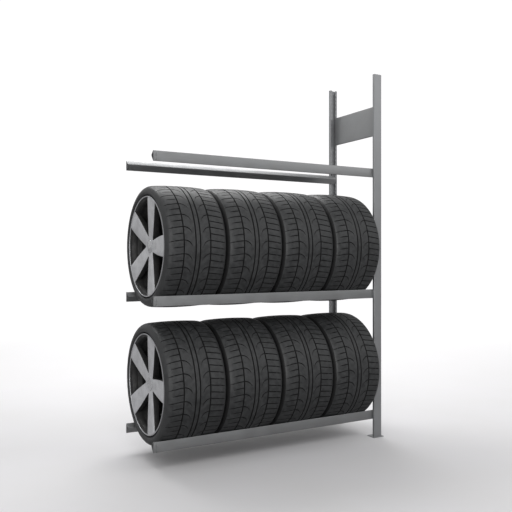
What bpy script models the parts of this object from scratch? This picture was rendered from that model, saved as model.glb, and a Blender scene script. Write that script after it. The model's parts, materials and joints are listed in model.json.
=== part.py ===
"""Tyre storage rack: an add-on bay with one end frame, three beam levels and eight wheels.

Units are metres and +Z is up.  X runs along the beams, with the end frame at +X.  Y runs from
the front of the rack to its rear.  The origin is on the floor, under the middle of the rack.
"""

import math

import bmesh
import bpy
from mathutils import Matrix, Vector

# ---------------------------------------------------------------------------------------------
# Driving dimensions
# ---------------------------------------------------------------------------------------------

RACK_HEIGHT = 2.000          # floor to the top of the uprights
BAY_LENGTH = 1.300           # from one frame's centre line to the next one's
FRAME_DEPTH = 0.4255         # outside of the front upright to outside of the rear one

UPRIGHT_WIDTH = 0.050        # web of the C section, along X
UPRIGHT_DEPTH = 0.0165       # side flanges, along Y
UPRIGHT_SHEET = 0.0015
UPRIGHT_LIP = 0.0125         # returned edge that carries the slots
UPRIGHT_BEND = 0.0025        # outside radius of the folds

SLOT_PITCH = 0.0247
SLOT_WIDTH = 0.0038
SLOT_HEIGHT = 0.014
SLOT_FROM_SIDE = 0.0070      # slot centre line to the upright's side

BEAM_HEIGHT = 0.049
BEAM_DEPTH = 0.028           # flat outer face to the corner of the inner ridge
BEAM_RIDGE_DROP = 0.020      # top edge down to the ridge
BEAM_EDGE = 0.0045           # level strip along the top and bottom edges
BEAM_SHEET = 0.0015
BEAM_BEND = 0.0022
BEAM_END_GAP = 0.0005        # left at a frame's centre line for the next bay's beam

LEVEL_COUNT = 3
LOADED_LEVELS = 2            # levels that hold wheels, from the lowest one up
LEVEL_1_TOP = 0.1475         # floor to the top edge of the lowest beams
WHEEL_HEADROOM = 0.055       # least space between the wheels of two levels

LUG_THICKNESS = 0.0026
LUG_HEIGHT = 0.0085
LUG_DROP = 0.0045            # hook below the slot's edge, behind the lip
LUG_TIP = 0.0030             # thickness of the hook behind the lip

PIN_PLAY = 0.0006               # a slot's width over the lock pin's diameter
PIN_HEAD_DIAMETER = 0.0085
PIN_HEAD = 0.0022
PIN_TAIL = 0.0040            # past the lip

FOOT_WIDTH = 0.070
FOOT_DEPTH = 0.060
FOOT_PLATE = 0.003
FOOT_OVERHANG = 0.010        # past the upright's outer face
FOOT_TAB_WIDTH = 0.030
FOOT_TAB_HEIGHT = 0.055
FOOT_TAB_SHEET = 0.0025
FOOT_HOLE_DIAMETER = 0.0090
FOOT_SCREW_HEIGHT = 0.035

PANEL_HEIGHT = 0.164
PANEL_SHEET = 0.0015
PANEL_INSET = 0.0012         # folded edges, inside the uprights' far sides
PANEL_TOP_MARGIN = 0.165     # top of the uprights to the top of the upper panel
PANEL_SCREW_INSET = 0.020    # panel's top or bottom edge to a screw
MIDDLE_PANEL_CENTRE = 0.960
LOWER_PANEL_CENTRE = 0.330

SCREW_PLAY = 0.0004             # a slot's width over a panel screw's diameter
SCREW_HEAD_DIAMETER = 0.0070
SCREW_HEAD = 0.0022
SCREW_HEAD_TOP = 0.0050      # diameter of the head's flat top
SCREW_TIP = 0.0050           # past the sheets that the screw holds

TYRE_SECTION = 0.0700        # rim's seat to the tread
TYRE_WIDTH = 0.306
TYRE_WALL = 0.010
TYRE_BULGE_WALL = 0.013      # wall at the widest place of the sidewall
TYRE_BEAD = 0.018            # width of the bead on the rim's seat
TYRE_CROWN_WIDTH = 0.236
TYRE_SHOULDER_DROP = 0.014
TYRE_BULGE_DROP = 0.040      # tread down to the widest place of the sidewall
WHEEL_GAP = 0.0027           # between neighbouring tyres
ROW_START_GAP = 0.003        # first tyre to the side of the next frame

RIM_WIDTH = 0.298            # outside of the flanges
RIM_SEAT_RADIUS = 0.2286
RIM_FLANGE_HEIGHT = 0.0159   # over the seat
RIM_FLANGE = 0.0070          # thickness at the seat
RIM_BARREL = 0.0080
RIM_DISH = 0.025             # hub face, behind the flange's face
RIM_DISC = 0.022             # thickness of the spokes at the flange
HUB_THICKNESS = 0.038
HUB_BORE_RADIUS = 0.030
SPOKE_COUNT = 5
SPOKE_WIDTH_OUTER = 0.099
SPOKE_WIDTH_ROOT = 0.056
SPOKE_ROOT = 0.044           # along a spoke from the axis to the place where its neighbour parts
SPOKE_SWELL = 1.6            # above 1, a spoke widens faster near its root
SPOKE_SHARES = (0.0, 0.35, 1.0)
POCKET_RIM = 0.0030          # ring left inside the barrel around the pockets
POCKET_ARC_STEPS = 3

CAP_FLANGE_RADIUS = 0.033
CAP_FLANGE = 0.0030
CAP_DOME = 0.0035
CAP_SHOULDER = 0.7           # share of the dome's radius and rise where its slope changes
CAP_PLUG = 0.014

GAP = 0.0003                 # between pieces that touch
SLIDE_GAP = 0.0005           # between a beam or panel and the uprights' lips
HOLE_PLAY = 0.0008           # a hole over the diameter of what goes through it

WHEEL_STEPS = 20
CAP_STEPS = 12
FASTENER_STEPS = 8
BEND_STEPS = 2

WHEEL_TURN_STEP = math.radians(24.0)    # from one wheel of a row to the next

# ---------------------------------------------------------------------------------------------
# Places that follow from the dimensions
# ---------------------------------------------------------------------------------------------

TYRE_RADIUS = RIM_SEAT_RADIUS + TYRE_SECTION
RIM_FLANGE_RADIUS = RIM_SEAT_RADIUS + RIM_FLANGE_HEIGHT
POCKET_RADIUS = RIM_SEAT_RADIUS - RIM_BARREL - POCKET_RIM
PIN_DIAMETER = SLOT_WIDTH - PIN_PLAY
SCREW_DIAMETER = SLOT_WIDTH - SCREW_PLAY
LEVEL_SLOTS = math.ceil((2 * TYRE_RADIUS + WHEEL_HEADROOM) / SLOT_PITCH)
LEVEL_SPACING = LEVEL_SLOTS * SLOT_PITCH
RACK_LENGTH = BAY_LENGTH - BEAM_END_GAP + FOOT_WIDTH / 2
FRAME_X = RACK_LENGTH / 2 - FOOT_WIDTH / 2
NEXT_FRAME_X = FRAME_X - BAY_LENGTH
WHEEL_PITCH = TYRE_WIDTH + WHEEL_GAP
ROW_ROOM = BAY_LENGTH - UPRIGHT_WIDTH - ROW_START_GAP
WHEELS_PER_LEVEL = int((ROW_ROOM + WHEEL_GAP) / WHEEL_PITCH)
BEAM_LEFT = NEXT_FRAME_X + BEAM_END_GAP
BEAM_RIGHT = FRAME_X - BEAM_END_GAP
LIP_Y = FRAME_DEPTH / 2 - UPRIGHT_DEPTH
BEAM_Y = LIP_Y - SLIDE_GAP
UPRIGHT_BASE = FOOT_PLATE + GAP
SLOT_OFFSET = UPRIGHT_WIDTH / 2 - SLOT_FROM_SIDE
PANEL_SET_BACK = SLOT_OFFSET - SCREW_HEAD_DIAMETER / 2 - GAP - PANEL_SHEET
PANEL_RETURN = UPRIGHT_WIDTH / 2 - PANEL_INSET - PANEL_SET_BACK
SIDES = {"front": -1.0, "rear": 1.0}
LUG_ROWS = {"top": -0.5, "bottom": -1.5}    # slots of a beam's lugs, in pitches from its top edge
PIN_ROW = 0.5                               # slot of its lock pin

STEEL_GREY = (0.245, 0.248, 0.250)
ZINC_GREY = (0.420, 0.425, 0.430)
PIN_BLACK = (0.030, 0.030, 0.032)
RUBBER_BLACK = (0.045, 0.045, 0.047)
ALLOY_SILVER = (0.420, 0.425, 0.435)
CAP_SILVER = (0.560, 0.570, 0.580)


def beam_top(level):
    """Height of the top edge of one level's beams."""
    return LEVEL_1_TOP + (level - 1) * LEVEL_SPACING


# ---------------------------------------------------------------------------------------------
# Scene, collections and materials
# ---------------------------------------------------------------------------------------------

def clear_scene():
    for old in list(bpy.data.objects):
        bpy.data.objects.remove(old, do_unlink=True)


def new_collection(name):
    collection = bpy.data.collections.new(name)
    bpy.context.scene.collection.children.link(collection)
    return collection


clear_scene()
RACK = new_collection("tyre_storage_rack")
CUTTERS = new_collection("cutters")


def make_material(name, colour, roughness, metallic):
    material = bpy.data.materials.new(name)
    material.use_nodes = True
    shader = material.node_tree.nodes["Principled BSDF"]
    shader.inputs["Base Color"].default_value = (*colour, 1.0)
    shader.inputs["Roughness"].default_value = roughness
    shader.inputs["Metallic"].default_value = metallic
    material.diffuse_color = (*colour, 1.0)
    return material


def add_node(name, mesh, matrix, look, parent=None):
    """Put a mesh in the rack as one named sub-part with its own material."""
    node = bpy.data.objects.new(name, mesh)
    RACK.objects.link(node)
    if parent is None:
        node.matrix_world = matrix
    else:
        node.parent = parent
        node.matrix_local = matrix
    colour, roughness, metallic = look
    if not mesh.materials:
        mesh.materials.append(None)
    node.material_slots[0].link = "OBJECT"
    node.material_slots[0].material = make_material(name, colour, roughness, metallic)
    return node


# ---------------------------------------------------------------------------------------------
# Shape helpers
# ---------------------------------------------------------------------------------------------

def rounded(corners, radii, steps=BEND_STEPS):
    """Points of a closed outline whose corners are arcs; a radius of 0 keeps a corner sharp."""
    points = []
    count = len(corners)
    for index, (corner, radius) in enumerate(zip(corners, radii)):
        here = Vector(corner)
        if radius <= 0.0:
            points.append(tuple(here))
            continue
        before = (Vector(corners[index - 1]) - here).normalized()
        after = (Vector(corners[(index + 1) % count]) - here).normalized()
        half_angle = before.angle(after) / 2
        reach = radius / math.tan(half_angle)
        centre = here + (before + after).normalized() * radius / math.sin(half_angle)
        start = here + before * reach - centre
        end = here + after * reach - centre
        turn = start.angle_signed(end)
        for step in range(steps + 1):
            angle = -turn * step / steps
            spoke = Matrix.Rotation(angle, 2) @ start
            points.append(tuple(centre + spoke))
    return points


def evaluated_mesh(source, name):
    """The mesh of an object with its modifiers applied; the object is removed."""
    bpy.context.view_layer.update()
    graph = bpy.context.evaluated_depsgraph_get()
    mesh = bpy.data.meshes.new_from_object(source.evaluated_get(graph))
    mesh.name = name
    bpy.data.objects.remove(source, do_unlink=True)
    return mesh


def weld(mesh):
    work = bmesh.new()
    work.from_mesh(mesh)
    bmesh.ops.remove_doubles(work, verts=work.verts, dist=1e-6)
    bmesh.ops.recalc_face_normals(work, faces=work.faces)
    work.to_mesh(mesh)
    work.free()


def extruded(name, outlines, length):
    """A flat outline, with any inner outlines as holes, drawn out along Z about its middle."""
    curve = bpy.data.curves.new(name, "CURVE")
    curve.dimensions = "2D"
    curve.fill_mode = "BOTH"
    curve.extrude = length / 2
    for outline in outlines:
        spline = curve.splines.new("POLY")
        spline.points.add(len(outline) - 1)
        for point, (x, y) in zip(spline.points, outline):
            point.co = (x, y, 0.0, 1.0)
        spline.use_cyclic_u = True
    drawn = bpy.data.objects.new(name, curve)
    RACK.objects.link(drawn)
    mesh = evaluated_mesh(drawn, name)
    weld(mesh)
    return mesh


def turned(name, profile, steps, closed, pockets=None):
    """A profile of (radius, height) points turned about Z; it runs down the outer side."""
    mesh = bpy.data.meshes.new(name)
    edges = [(index, index + 1) for index in range(len(profile) - 1)]
    if closed:
        edges.append((len(profile) - 1, 0))
    mesh.from_pydata([(radius, 0.0, height) for radius, height in profile], edges, [])
    shape = bpy.data.objects.new(name, mesh)
    RACK.objects.link(shape)
    screw = shape.modifiers.new("turn", "SCREW")
    screw.axis = "Z"
    screw.steps = steps
    screw.render_steps = steps
    screw.use_merge_vertices = True
    screw.merge_threshold = 0.00005
    screw.use_smooth_shade = False
    if pockets is not None:
        cut(shape, pockets)
    return evaluated_mesh(shape, name)


def smooth(mesh, degrees=35.0):
    mesh.shade_smooth()
    mesh.set_sharp_from_angle(angle=math.radians(degrees))


def block_mesh(name, blocks):
    """One mesh of separate boxes, each given by its lowest and highest corner."""
    work = bmesh.new()
    for low, high in blocks:
        size = Vector(high) - Vector(low)
        middle = (Vector(high) + Vector(low)) / 2
        placed = Matrix.Translation(middle) @ Matrix.Diagonal((*size, 1.0))
        bmesh.ops.create_cube(work, size=1.0, matrix=placed)
    mesh = bpy.data.meshes.new(name)
    work.to_mesh(mesh)
    work.free()
    return mesh


def helper_object(name, mesh):
    """A cutter or an added shape: it only serves a Boolean."""
    helper = bpy.data.objects.new(name, mesh)
    CUTTERS.objects.link(helper)
    helper.hide_render = True
    helper.display_type = "WIRE"
    return helper


def round_cutter(name, diameter, depth, places, steps=FASTENER_STEPS):
    """Round holes as one cutter, a cylinder about the Z axis of each of the given places."""
    work = bmesh.new()
    for place in places:
        bmesh.ops.create_cone(work, cap_ends=True, segments=steps, radius1=diameter / 2,
                              radius2=diameter / 2, depth=depth, matrix=place)
    mesh = bpy.data.meshes.new(name)
    work.to_mesh(mesh)
    work.free()
    return helper_object(name, mesh)


def facing_y(x, y, z):
    """A place whose Z axis lies along Y."""
    return Matrix.Translation((x, y, z)) @ Matrix.Rotation(math.pi / 2, 4, "X")


def boolean(target, helper, operation):
    modifier = target.modifiers.new(helper.name, "BOOLEAN")
    modifier.operation = operation
    modifier.solver = "EXACT"
    modifier.object = helper


def cut(target, helper):
    boolean(target, helper, "DIFFERENCE")


def shaped(name, mesh, cutters=(), added=()):
    """The mesh after its added shapes are joined on and its cutters taken out."""
    body = bpy.data.objects.new(name, mesh)
    RACK.objects.link(body)
    for helper in added:
        boolean(body, helper, "UNION")
    for helper in cutters:
        cut(body, helper)
    return evaluated_mesh(body, name)


def along_x():
    """Turns a shape drawn out along Z so that it runs along X; its own X becomes Y, Y becomes Z."""
    return Matrix(((0, 0, 1, 0), (1, 0, 0, 0), (0, 1, 0, 0), (0, 0, 0, 1)))


# ---------------------------------------------------------------------------------------------
# Uprights: C sections with the web outside and a row of slots in each returned edge
# ---------------------------------------------------------------------------------------------

def upright_section():
    """The rear upright's section: web at +Y, opening towards -Y."""
    half = UPRIGHT_WIDTH / 2
    inside = half - UPRIGHT_SHEET
    web = FRAME_DEPTH / 2
    lip_end = half - UPRIGHT_LIP
    corners = [
        (-half, web), (half, web), (half, LIP_Y), (lip_end, LIP_Y),
        (lip_end, LIP_Y + UPRIGHT_SHEET), (inside, LIP_Y + UPRIGHT_SHEET),
        (inside, web - UPRIGHT_SHEET), (-inside, web - UPRIGHT_SHEET),
        (-inside, LIP_Y + UPRIGHT_SHEET), (-lip_end, LIP_Y + UPRIGHT_SHEET),
        (-lip_end, LIP_Y), (-half, LIP_Y),
    ]
    bend = UPRIGHT_BEND
    radii = [bend, bend, bend, 0, 0, 0, 0, 0, 0, 0, 0, bend]
    return rounded(corners, radii)


def slot_heights():
    first = LEVEL_1_TOP + LUG_ROWS["bottom"] * SLOT_PITCH
    while first - SLOT_PITCH > UPRIGHT_BASE + SLOT_PITCH / 2:
        first -= SLOT_PITCH
    count = int((RACK_HEIGHT - SLOT_PITCH / 2 - first) / SLOT_PITCH) + 1
    return [first + index * SLOT_PITCH for index in range(count)]


def panel_centres():
    upper = RACK_HEIGHT - PANEL_TOP_MARGIN - PANEL_HEIGHT / 2
    return {"upper": upper, "middle": MIDDLE_PANEL_CENTRE, "lower": LOWER_PANEL_CENTRE}


def panel_screw_heights(centre):
    reach = PANEL_HEIGHT / 2 - PANEL_SCREW_INSET
    return {"top": centre + reach, "bottom": centre - reach}


def slot_spans(heights):
    """Bottoms and tops of the slots at these heights; slots that run into each other become one."""
    spans = []
    for height in sorted(heights):
        bottom = height - SLOT_HEIGHT / 2
        top = height + SLOT_HEIGHT / 2
        if spans and bottom < spans[-1][1] + GAP:
            spans[-1] = (spans[-1][0], top)
        else:
            spans.append((bottom, top))
    return spans


def slot_cutters():
    """Slots of the beam side; on the other edge the next bay's and one for every panel screw."""
    other_edge = [beam_top(level) + row * SLOT_PITCH
                  for level in range(1, LEVEL_COUNT + 1) for row in (*LUG_ROWS.values(), PIN_ROW)]
    for centre in panel_centres().values():
        other_edge += panel_screw_heights(centre).values()
    near = LIP_Y - UPRIGHT_SHEET
    far = LIP_Y + 2 * UPRIGHT_SHEET
    blocks = []
    for x, heights in ((-SLOT_OFFSET, slot_heights()), (SLOT_OFFSET, other_edge)):
        for bottom, top in slot_spans(heights):
            blocks.append(((x - SLOT_WIDTH / 2, near, bottom), (x + SLOT_WIDTH / 2, far, top)))
    return helper_object("upright_slots", block_mesh("upright_slots", blocks))


def foot_screw_hole():
    """Hole through the web for the screw that holds the foot plate."""
    depth = 4 * UPRIGHT_SHEET + 2 * FOOT_TAB_SHEET
    place = facing_y(0.0, FRAME_DEPTH / 2, FOOT_SCREW_HEIGHT)
    return round_cutter("foot_screw_hole", SCREW_DIAMETER + HOLE_PLAY, depth, [place])


def mirrored_y(mesh):
    """A copy of a mesh seen in a mirror that stands in the XZ plane."""
    copy = mesh.copy()
    copy.transform(Matrix.Diagonal((1.0, -1.0, 1.0, 1.0)))
    copy.flip_normals()
    return copy


def build_uprights():
    length = RACK_HEIGHT - UPRIGHT_BASE
    section = extruded("rear_upright", [upright_section()], length)
    section.transform(Matrix.Translation((0.0, 0.0, UPRIGHT_BASE + length / 2)))
    rear = shaped("rear_upright", section, cutters=[slot_cutters(), foot_screw_hole()])
    place = Matrix.Translation((FRAME_X, 0.0, 0.0))
    look = (STEEL_GREY, 0.42, 0.35)
    add_node("rear_upright", rear, place, look)
    add_node("front_upright", mirrored_y(rear), place, look)


# ---------------------------------------------------------------------------------------------
# Foot plates: a floor plate with a tab that stands inside the upright
# ---------------------------------------------------------------------------------------------

def build_feet():
    web_inside = FRAME_DEPTH / 2 - UPRIGHT_SHEET
    plate_back = FRAME_DEPTH / 2 + FOOT_OVERHANG
    plate_front = plate_back - FOOT_DEPTH
    tab_back = web_inside - GAP
    plate = block_mesh("rear_foot_plate", [
        ((-FOOT_WIDTH / 2, plate_front, 0.0), (FOOT_WIDTH / 2, plate_back, FOOT_PLATE))])
    tab_low = (-FOOT_TAB_WIDTH / 2, tab_back - FOOT_TAB_SHEET, FOOT_PLATE / 2)
    tab_high = (FOOT_TAB_WIDTH / 2, tab_back, FOOT_TAB_HEIGHT)
    tab = helper_object("foot_tab", block_mesh("foot_tab", [(tab_low, tab_high)]))

    hole_place = Matrix.Translation((0.0, (plate_front + LIP_Y) / 2, 0.0))
    hole = round_cutter("anchor_hole", FOOT_HOLE_DIAMETER, 4 * FOOT_PLATE, [hole_place], CAP_STEPS)
    rear = shaped("rear_foot_plate", plate, cutters=[hole, bpy.data.objects["foot_screw_hole"]],
                  added=[tab])
    place = Matrix.Translation((FRAME_X, 0.0, 0.0))
    look = (STEEL_GREY, 0.45, 0.35)
    add_node("rear_foot_plate", rear, place, look)
    add_node("front_foot_plate", mirrored_y(rear), place, look)

    head_seat = tab_back - FOOT_TAB_SHEET - GAP
    screw = screw_mesh("foot_screw", FRAME_DEPTH / 2 - GAP - head_seat)
    for side, sign in SIDES.items():
        place = fastener_place(FRAME_X, sign * head_seat, FOOT_SCREW_HEIGHT, sign)
        add_node(f"{side}_foot_screw", screw, place, (ZINC_GREY, 0.35, 0.8))


# ---------------------------------------------------------------------------------------------
# Screws and lock pins: turned pieces whose head lies below Z = 0 and whose shank points to +Z
# ---------------------------------------------------------------------------------------------

def screw_mesh(name, shank):
    profile = [
        (0.0, shank), (SCREW_DIAMETER / 2, shank - SCREW_DIAMETER / 4),
        (SCREW_DIAMETER / 2, 0.0), (SCREW_HEAD_DIAMETER / 2, 0.0),
        (SCREW_HEAD_TOP / 2, -SCREW_HEAD), (0.0, -SCREW_HEAD),
    ]
    mesh = turned(name, profile, FASTENER_STEPS, closed=False)
    smooth(mesh)
    return mesh


def fastener_place(x, y, z, sign):
    """Puts a fastener's Z axis along +Y or -Y, with its head seat at the given place."""
    turn = Matrix.Rotation(-sign * math.pi / 2, 4, "X")
    return Matrix.Translation((x, y, z)) @ turn


def build_lock_pins():
    """A headed pin in the slot just over each beam, so that the beam can't be knocked out."""
    shank = SLIDE_GAP + UPRIGHT_SHEET + PIN_TAIL
    profile = [
        (0.0, shank), (PIN_DIAMETER / 2, shank - PIN_DIAMETER / 4), (PIN_DIAMETER / 2, 0.0),
        (PIN_HEAD_DIAMETER / 2, 0.0), (PIN_HEAD_DIAMETER / 2, -PIN_HEAD), (0.0, -PIN_HEAD),
    ]
    pin = turned("lock_pin", profile, FASTENER_STEPS, closed=False)
    smooth(pin)
    x = FRAME_X - SLOT_OFFSET
    for level in range(1, LEVEL_COUNT + 1):
        slot_bottom = beam_top(level) + PIN_ROW * SLOT_PITCH - SLOT_HEIGHT / 2
        height = slot_bottom + PIN_DIAMETER / 2 + GAP
        for side, sign in SIDES.items():
            place = fastener_place(x, sign * BEAM_Y, height, sign)
            add_node(f"level_{level}_{side}_lock_pin", pin, place, (PIN_BLACK, 0.5, 0.0))


# ---------------------------------------------------------------------------------------------
# Frame panels: folded trays between the uprights, each held by two screws at either end
# ---------------------------------------------------------------------------------------------

def panel_mesh():
    """A tray with its face at X = 0, folded edges to +X, its middle at the origin."""
    half_y = LIP_Y - SLIDE_GAP
    half_z = PANEL_HEIGHT / 2
    tray = block_mesh("frame_panel", [((0.0, -half_y, -half_z), (PANEL_RETURN, half_y, half_z))])
    hollow_y = half_y - PANEL_SHEET
    hollow_z = half_z - PANEL_SHEET
    hollow = helper_object("panel_hollow", block_mesh("panel_hollow", [
        ((PANEL_SHEET, -hollow_y, -hollow_z), (2 * PANEL_RETURN, hollow_y, hollow_z))]))
    heights = panel_screw_heights(0.0).values()
    places = [facing_y(SLOT_OFFSET - PANEL_SET_BACK, 0.0, height) for height in heights]
    holes = round_cutter("panel_screw_holes", SCREW_DIAMETER + HOLE_PLAY, FRAME_DEPTH, places)
    return shaped("frame_panel", tray, cutters=[hollow, holes])


def build_panels():
    panel = panel_mesh()
    head_seat = LIP_Y - SLIDE_GAP - PANEL_SHEET - GAP
    shank = GAP + PANEL_SHEET + SLIDE_GAP + UPRIGHT_SHEET + SCREW_TIP
    screw = screw_mesh("panel_screw", shank)
    for name, centre in panel_centres().items():
        place = Matrix.Translation((FRAME_X + PANEL_SET_BACK, 0.0, centre))
        add_node(f"{name}_frame_panel", panel, place, (STEEL_GREY, 0.42, 0.35))
        for row, height in panel_screw_heights(centre).items():
            for side, sign in SIDES.items():
                place = fastener_place(FRAME_X + SLOT_OFFSET, sign * head_seat, height, sign)
                screw_name = f"{name}_panel_{side}_{row}_screw"
                add_node(screw_name, screw, place, (ZINC_GREY, 0.35, 0.8))


# ---------------------------------------------------------------------------------------------
# Beams: a closed, folded section with a flat outer face and a ridge towards the wheels
# ---------------------------------------------------------------------------------------------

def beam_outline(inset):
    """The rear beam's section, its outer face at +Y and its top edge at Z = 0."""
    edge = BEAM_Y - BEAM_EDGE
    ridge = (BEAM_Y - BEAM_DEPTH, -BEAM_RIDGE_DROP)
    corners = [(BEAM_Y, 0.0), (edge, 0.0), ridge, (edge, -BEAM_HEIGHT), (BEAM_Y, -BEAM_HEIGHT)]
    if inset > 0.0:
        corners = [inset_corner(corners, index, inset) for index in range(len(corners))]
    radius = max(BEAM_BEND - inset, 0.0)
    return rounded(corners, [radius] * len(corners))


def inset_corner(corners, index, inset):
    """A corner of a convex outline after every side has moved inwards."""
    here = Vector(corners[index])
    before = (Vector(corners[index - 1]) - here).normalized()
    after = (Vector(corners[(index + 1) % len(corners)]) - here).normalized()
    half_angle = before.angle(after) / 2
    return here + (before + after).normalized() * inset / math.sin(half_angle)


def lug_outline(slot_height):
    """A hook that rests in a slot and reaches down behind the lip, seen along X; Y then Z."""
    root = BEAM_Y - BEAM_SHEET / 2
    behind = LIP_Y + UPRIGHT_SHEET + GAP
    shank_bottom = slot_height - SLOT_HEIGHT / 2 + GAP
    top = shank_bottom + LUG_HEIGHT
    tip_bottom = shank_bottom - LUG_DROP
    return [
        (root, top), (behind + LUG_TIP, top), (behind + LUG_TIP, tip_bottom),
        (behind, tip_bottom), (behind, shank_bottom), (root, shank_bottom),
    ]


def beam_lugs():
    """Two lugs at either end of a beam, one slot apart, as one mesh for each lug."""
    ends = {"left": NEXT_FRAME_X + SLOT_OFFSET, "right": FRAME_X - SLOT_OFFSET}
    lugs = []
    for end, x in ends.items():
        for row, slots_up in LUG_ROWS.items():
            name = f"lug_{end}_{row}"
            mesh = extruded(name, [lug_outline(slots_up * SLOT_PITCH)], LUG_THICKNESS)
            mesh.transform(Matrix.Translation((x, 0.0, 0.0)) @ along_x())
            lugs.append(helper_object(name, mesh))
    return lugs


def build_beams():
    length = BEAM_RIGHT - BEAM_LEFT
    tube = extruded("rear_beam", [beam_outline(0.0), beam_outline(BEAM_SHEET)], length)
    tube.transform(Matrix.Translation(((BEAM_LEFT + BEAM_RIGHT) / 2, 0.0, 0.0)) @ along_x())
    rear = shaped("rear_beam", tube, added=beam_lugs())
    meshes = {"rear": rear, "front": mirrored_y(rear)}
    for level in range(1, LEVEL_COUNT + 1):
        place = Matrix.Translation((0.0, 0.0, beam_top(level)))
        for side, mesh in meshes.items():
            add_node(f"level_{level}_{side}_beam", mesh, place, (STEEL_GREY, 0.38, 0.4))


# ---------------------------------------------------------------------------------------------
# Wheels: tyre, rim and centre cap on one axis, each wheel lying in the cradle of two beams
# ---------------------------------------------------------------------------------------------

def tyre_mesh():
    """A hollow casing that is open towards the rim; the bead lies on the rim's seat."""
    side = TYRE_WIDTH / 2
    crown = TYRE_CROWN_WIDTH / 2
    shoulder = (crown + side) / 2 + TYRE_SHOULDER_DROP / 2
    flange_inside = RIM_WIDTH / 2 - RIM_FLANGE - GAP
    bead = RIM_SEAT_RADIUS + GAP
    over_flange = RIM_FLANGE_RADIUS + GAP
    bulge = TYRE_RADIUS - TYRE_BULGE_DROP
    upper_half = [
        (TYRE_RADIUS - TYRE_WALL, crown - TYRE_WALL),
        (bulge, side - TYRE_BULGE_WALL),
        (bead, flange_inside - TYRE_BEAD),
        (bead, flange_inside),
        (over_flange, flange_inside),
        (bulge, side),
        (TYRE_RADIUS - TYRE_SHOULDER_DROP, shoulder),
        (TYRE_RADIUS, crown),
    ]
    lower_half = [(radius, -height) for radius, height in reversed(upper_half)]
    mesh = turned("tyre", upper_half + lower_half, WHEEL_STEPS, closed=True)
    smooth(mesh)
    return mesh


def spoke_point(spoke, share, side):
    """A point on one edge of a spoke, from its root at share 0 to the barrel at share 1."""
    end = math.sqrt(POCKET_RADIUS ** 2 - (SPOKE_WIDTH_OUTER / 2) ** 2)
    along = SPOKE_ROOT + (end - SPOKE_ROOT) * share
    narrower = (SPOKE_WIDTH_OUTER - SPOKE_WIDTH_ROOT) * (1 - share) ** SPOKE_SWELL
    across = side * (SPOKE_WIDTH_OUTER - narrower) / 2
    heading = 2 * math.pi * spoke / SPOKE_COUNT - math.pi / 2
    return (
        along * math.cos(heading) - across * math.sin(heading),
        along * math.sin(heading) + across * math.cos(heading),
    )


def pocket_outline(index):
    """The opening between two spokes: a narrow root, curved sides and an arc at the rim."""
    first = [spoke_point(index, share, 1) for share in SPOKE_SHARES]
    second = [spoke_point(index + 1, share, -1) for share in SPOKE_SHARES]
    bisector = 2 * math.pi * (index + 0.5) / SPOKE_COUNT - math.pi / 2
    half_gap = math.pi / SPOKE_COUNT - math.asin(SPOKE_WIDTH_OUTER / 2 / POCKET_RADIUS)
    arc = []
    for step in range(1, POCKET_ARC_STEPS):
        angle = bisector + half_gap * (1 - 2 * step / POCKET_ARC_STEPS)
        arc.append((POCKET_RADIUS * math.cos(angle), POCKET_RADIUS * math.sin(angle)))
    return first[:1] + second + arc + first[:0:-1]


def rim_pockets():
    outlines = [pocket_outline(index) for index in range(SPOKE_COUNT)]
    depth = 2 * (RIM_DISH + RIM_DISC + HUB_THICKNESS)
    mesh = extruded("rim_pockets", outlines, depth)
    mesh.transform(Matrix.Translation((0.0, 0.0, -RIM_WIDTH / 2)))
    return helper_object("rim_pockets", mesh)


def rim_mesh():
    """Barrel, flanges and dished spokes in one casting; the face is at the lower end of Z."""
    edge = RIM_WIDTH / 2
    barrel_inside = RIM_SEAT_RADIUS - RIM_BARREL
    hub_face = -edge + RIM_DISH
    profile = [
        (RIM_FLANGE_RADIUS, edge),
        (RIM_SEAT_RADIUS, edge - RIM_FLANGE),
        (RIM_SEAT_RADIUS, -edge + RIM_FLANGE),
        (RIM_FLANGE_RADIUS, -edge + RIM_FLANGE),
        (RIM_FLANGE_RADIUS, -edge),
        (HUB_BORE_RADIUS, hub_face),
        (HUB_BORE_RADIUS, hub_face + HUB_THICKNESS),
        (barrel_inside, -edge + RIM_DISC),
        (barrel_inside, edge - RIM_FLANGE),
    ]
    mesh = turned("rim", profile, WHEEL_STEPS, closed=True, pockets=rim_pockets())
    smooth(mesh)
    return mesh


def cap_mesh():
    """A domed disc on a plug that fits the hub's bore; the dome is at the lower end of Z."""
    hub_face = -RIM_WIDTH / 2 + RIM_DISH
    seat = hub_face - GAP
    bore = (HUB_BORE_RADIUS - GAP) * math.cos(math.pi / WHEEL_STEPS)
    dome_rise = (CAP_FLANGE_RADIUS - HUB_BORE_RADIUS) * RIM_DISH / RIM_FLANGE_RADIUS
    seat -= dome_rise
    profile = [
        (0.0, hub_face + CAP_PLUG), (bore, hub_face + CAP_PLUG), (bore, seat),
        (CAP_FLANGE_RADIUS, seat), (CAP_FLANGE_RADIUS, seat - CAP_FLANGE),
        (CAP_FLANGE_RADIUS * CAP_SHOULDER, seat - CAP_FLANGE - CAP_DOME * CAP_SHOULDER),
        (0.0, seat - CAP_FLANGE - CAP_DOME),
    ]
    mesh = turned("centre_cap", profile, CAP_STEPS, closed=False)
    smooth(mesh)
    return mesh


def seat_height():
    """Height of a wheel's axis over the beams' top edge: the tyre rests on both ridges."""
    reach = TYRE_RADIUS + GAP
    heights = []
    for across, height in beam_outline(0.0):
        heights.append(height + math.sqrt(reach ** 2 - across ** 2))
    return max(heights)


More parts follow.
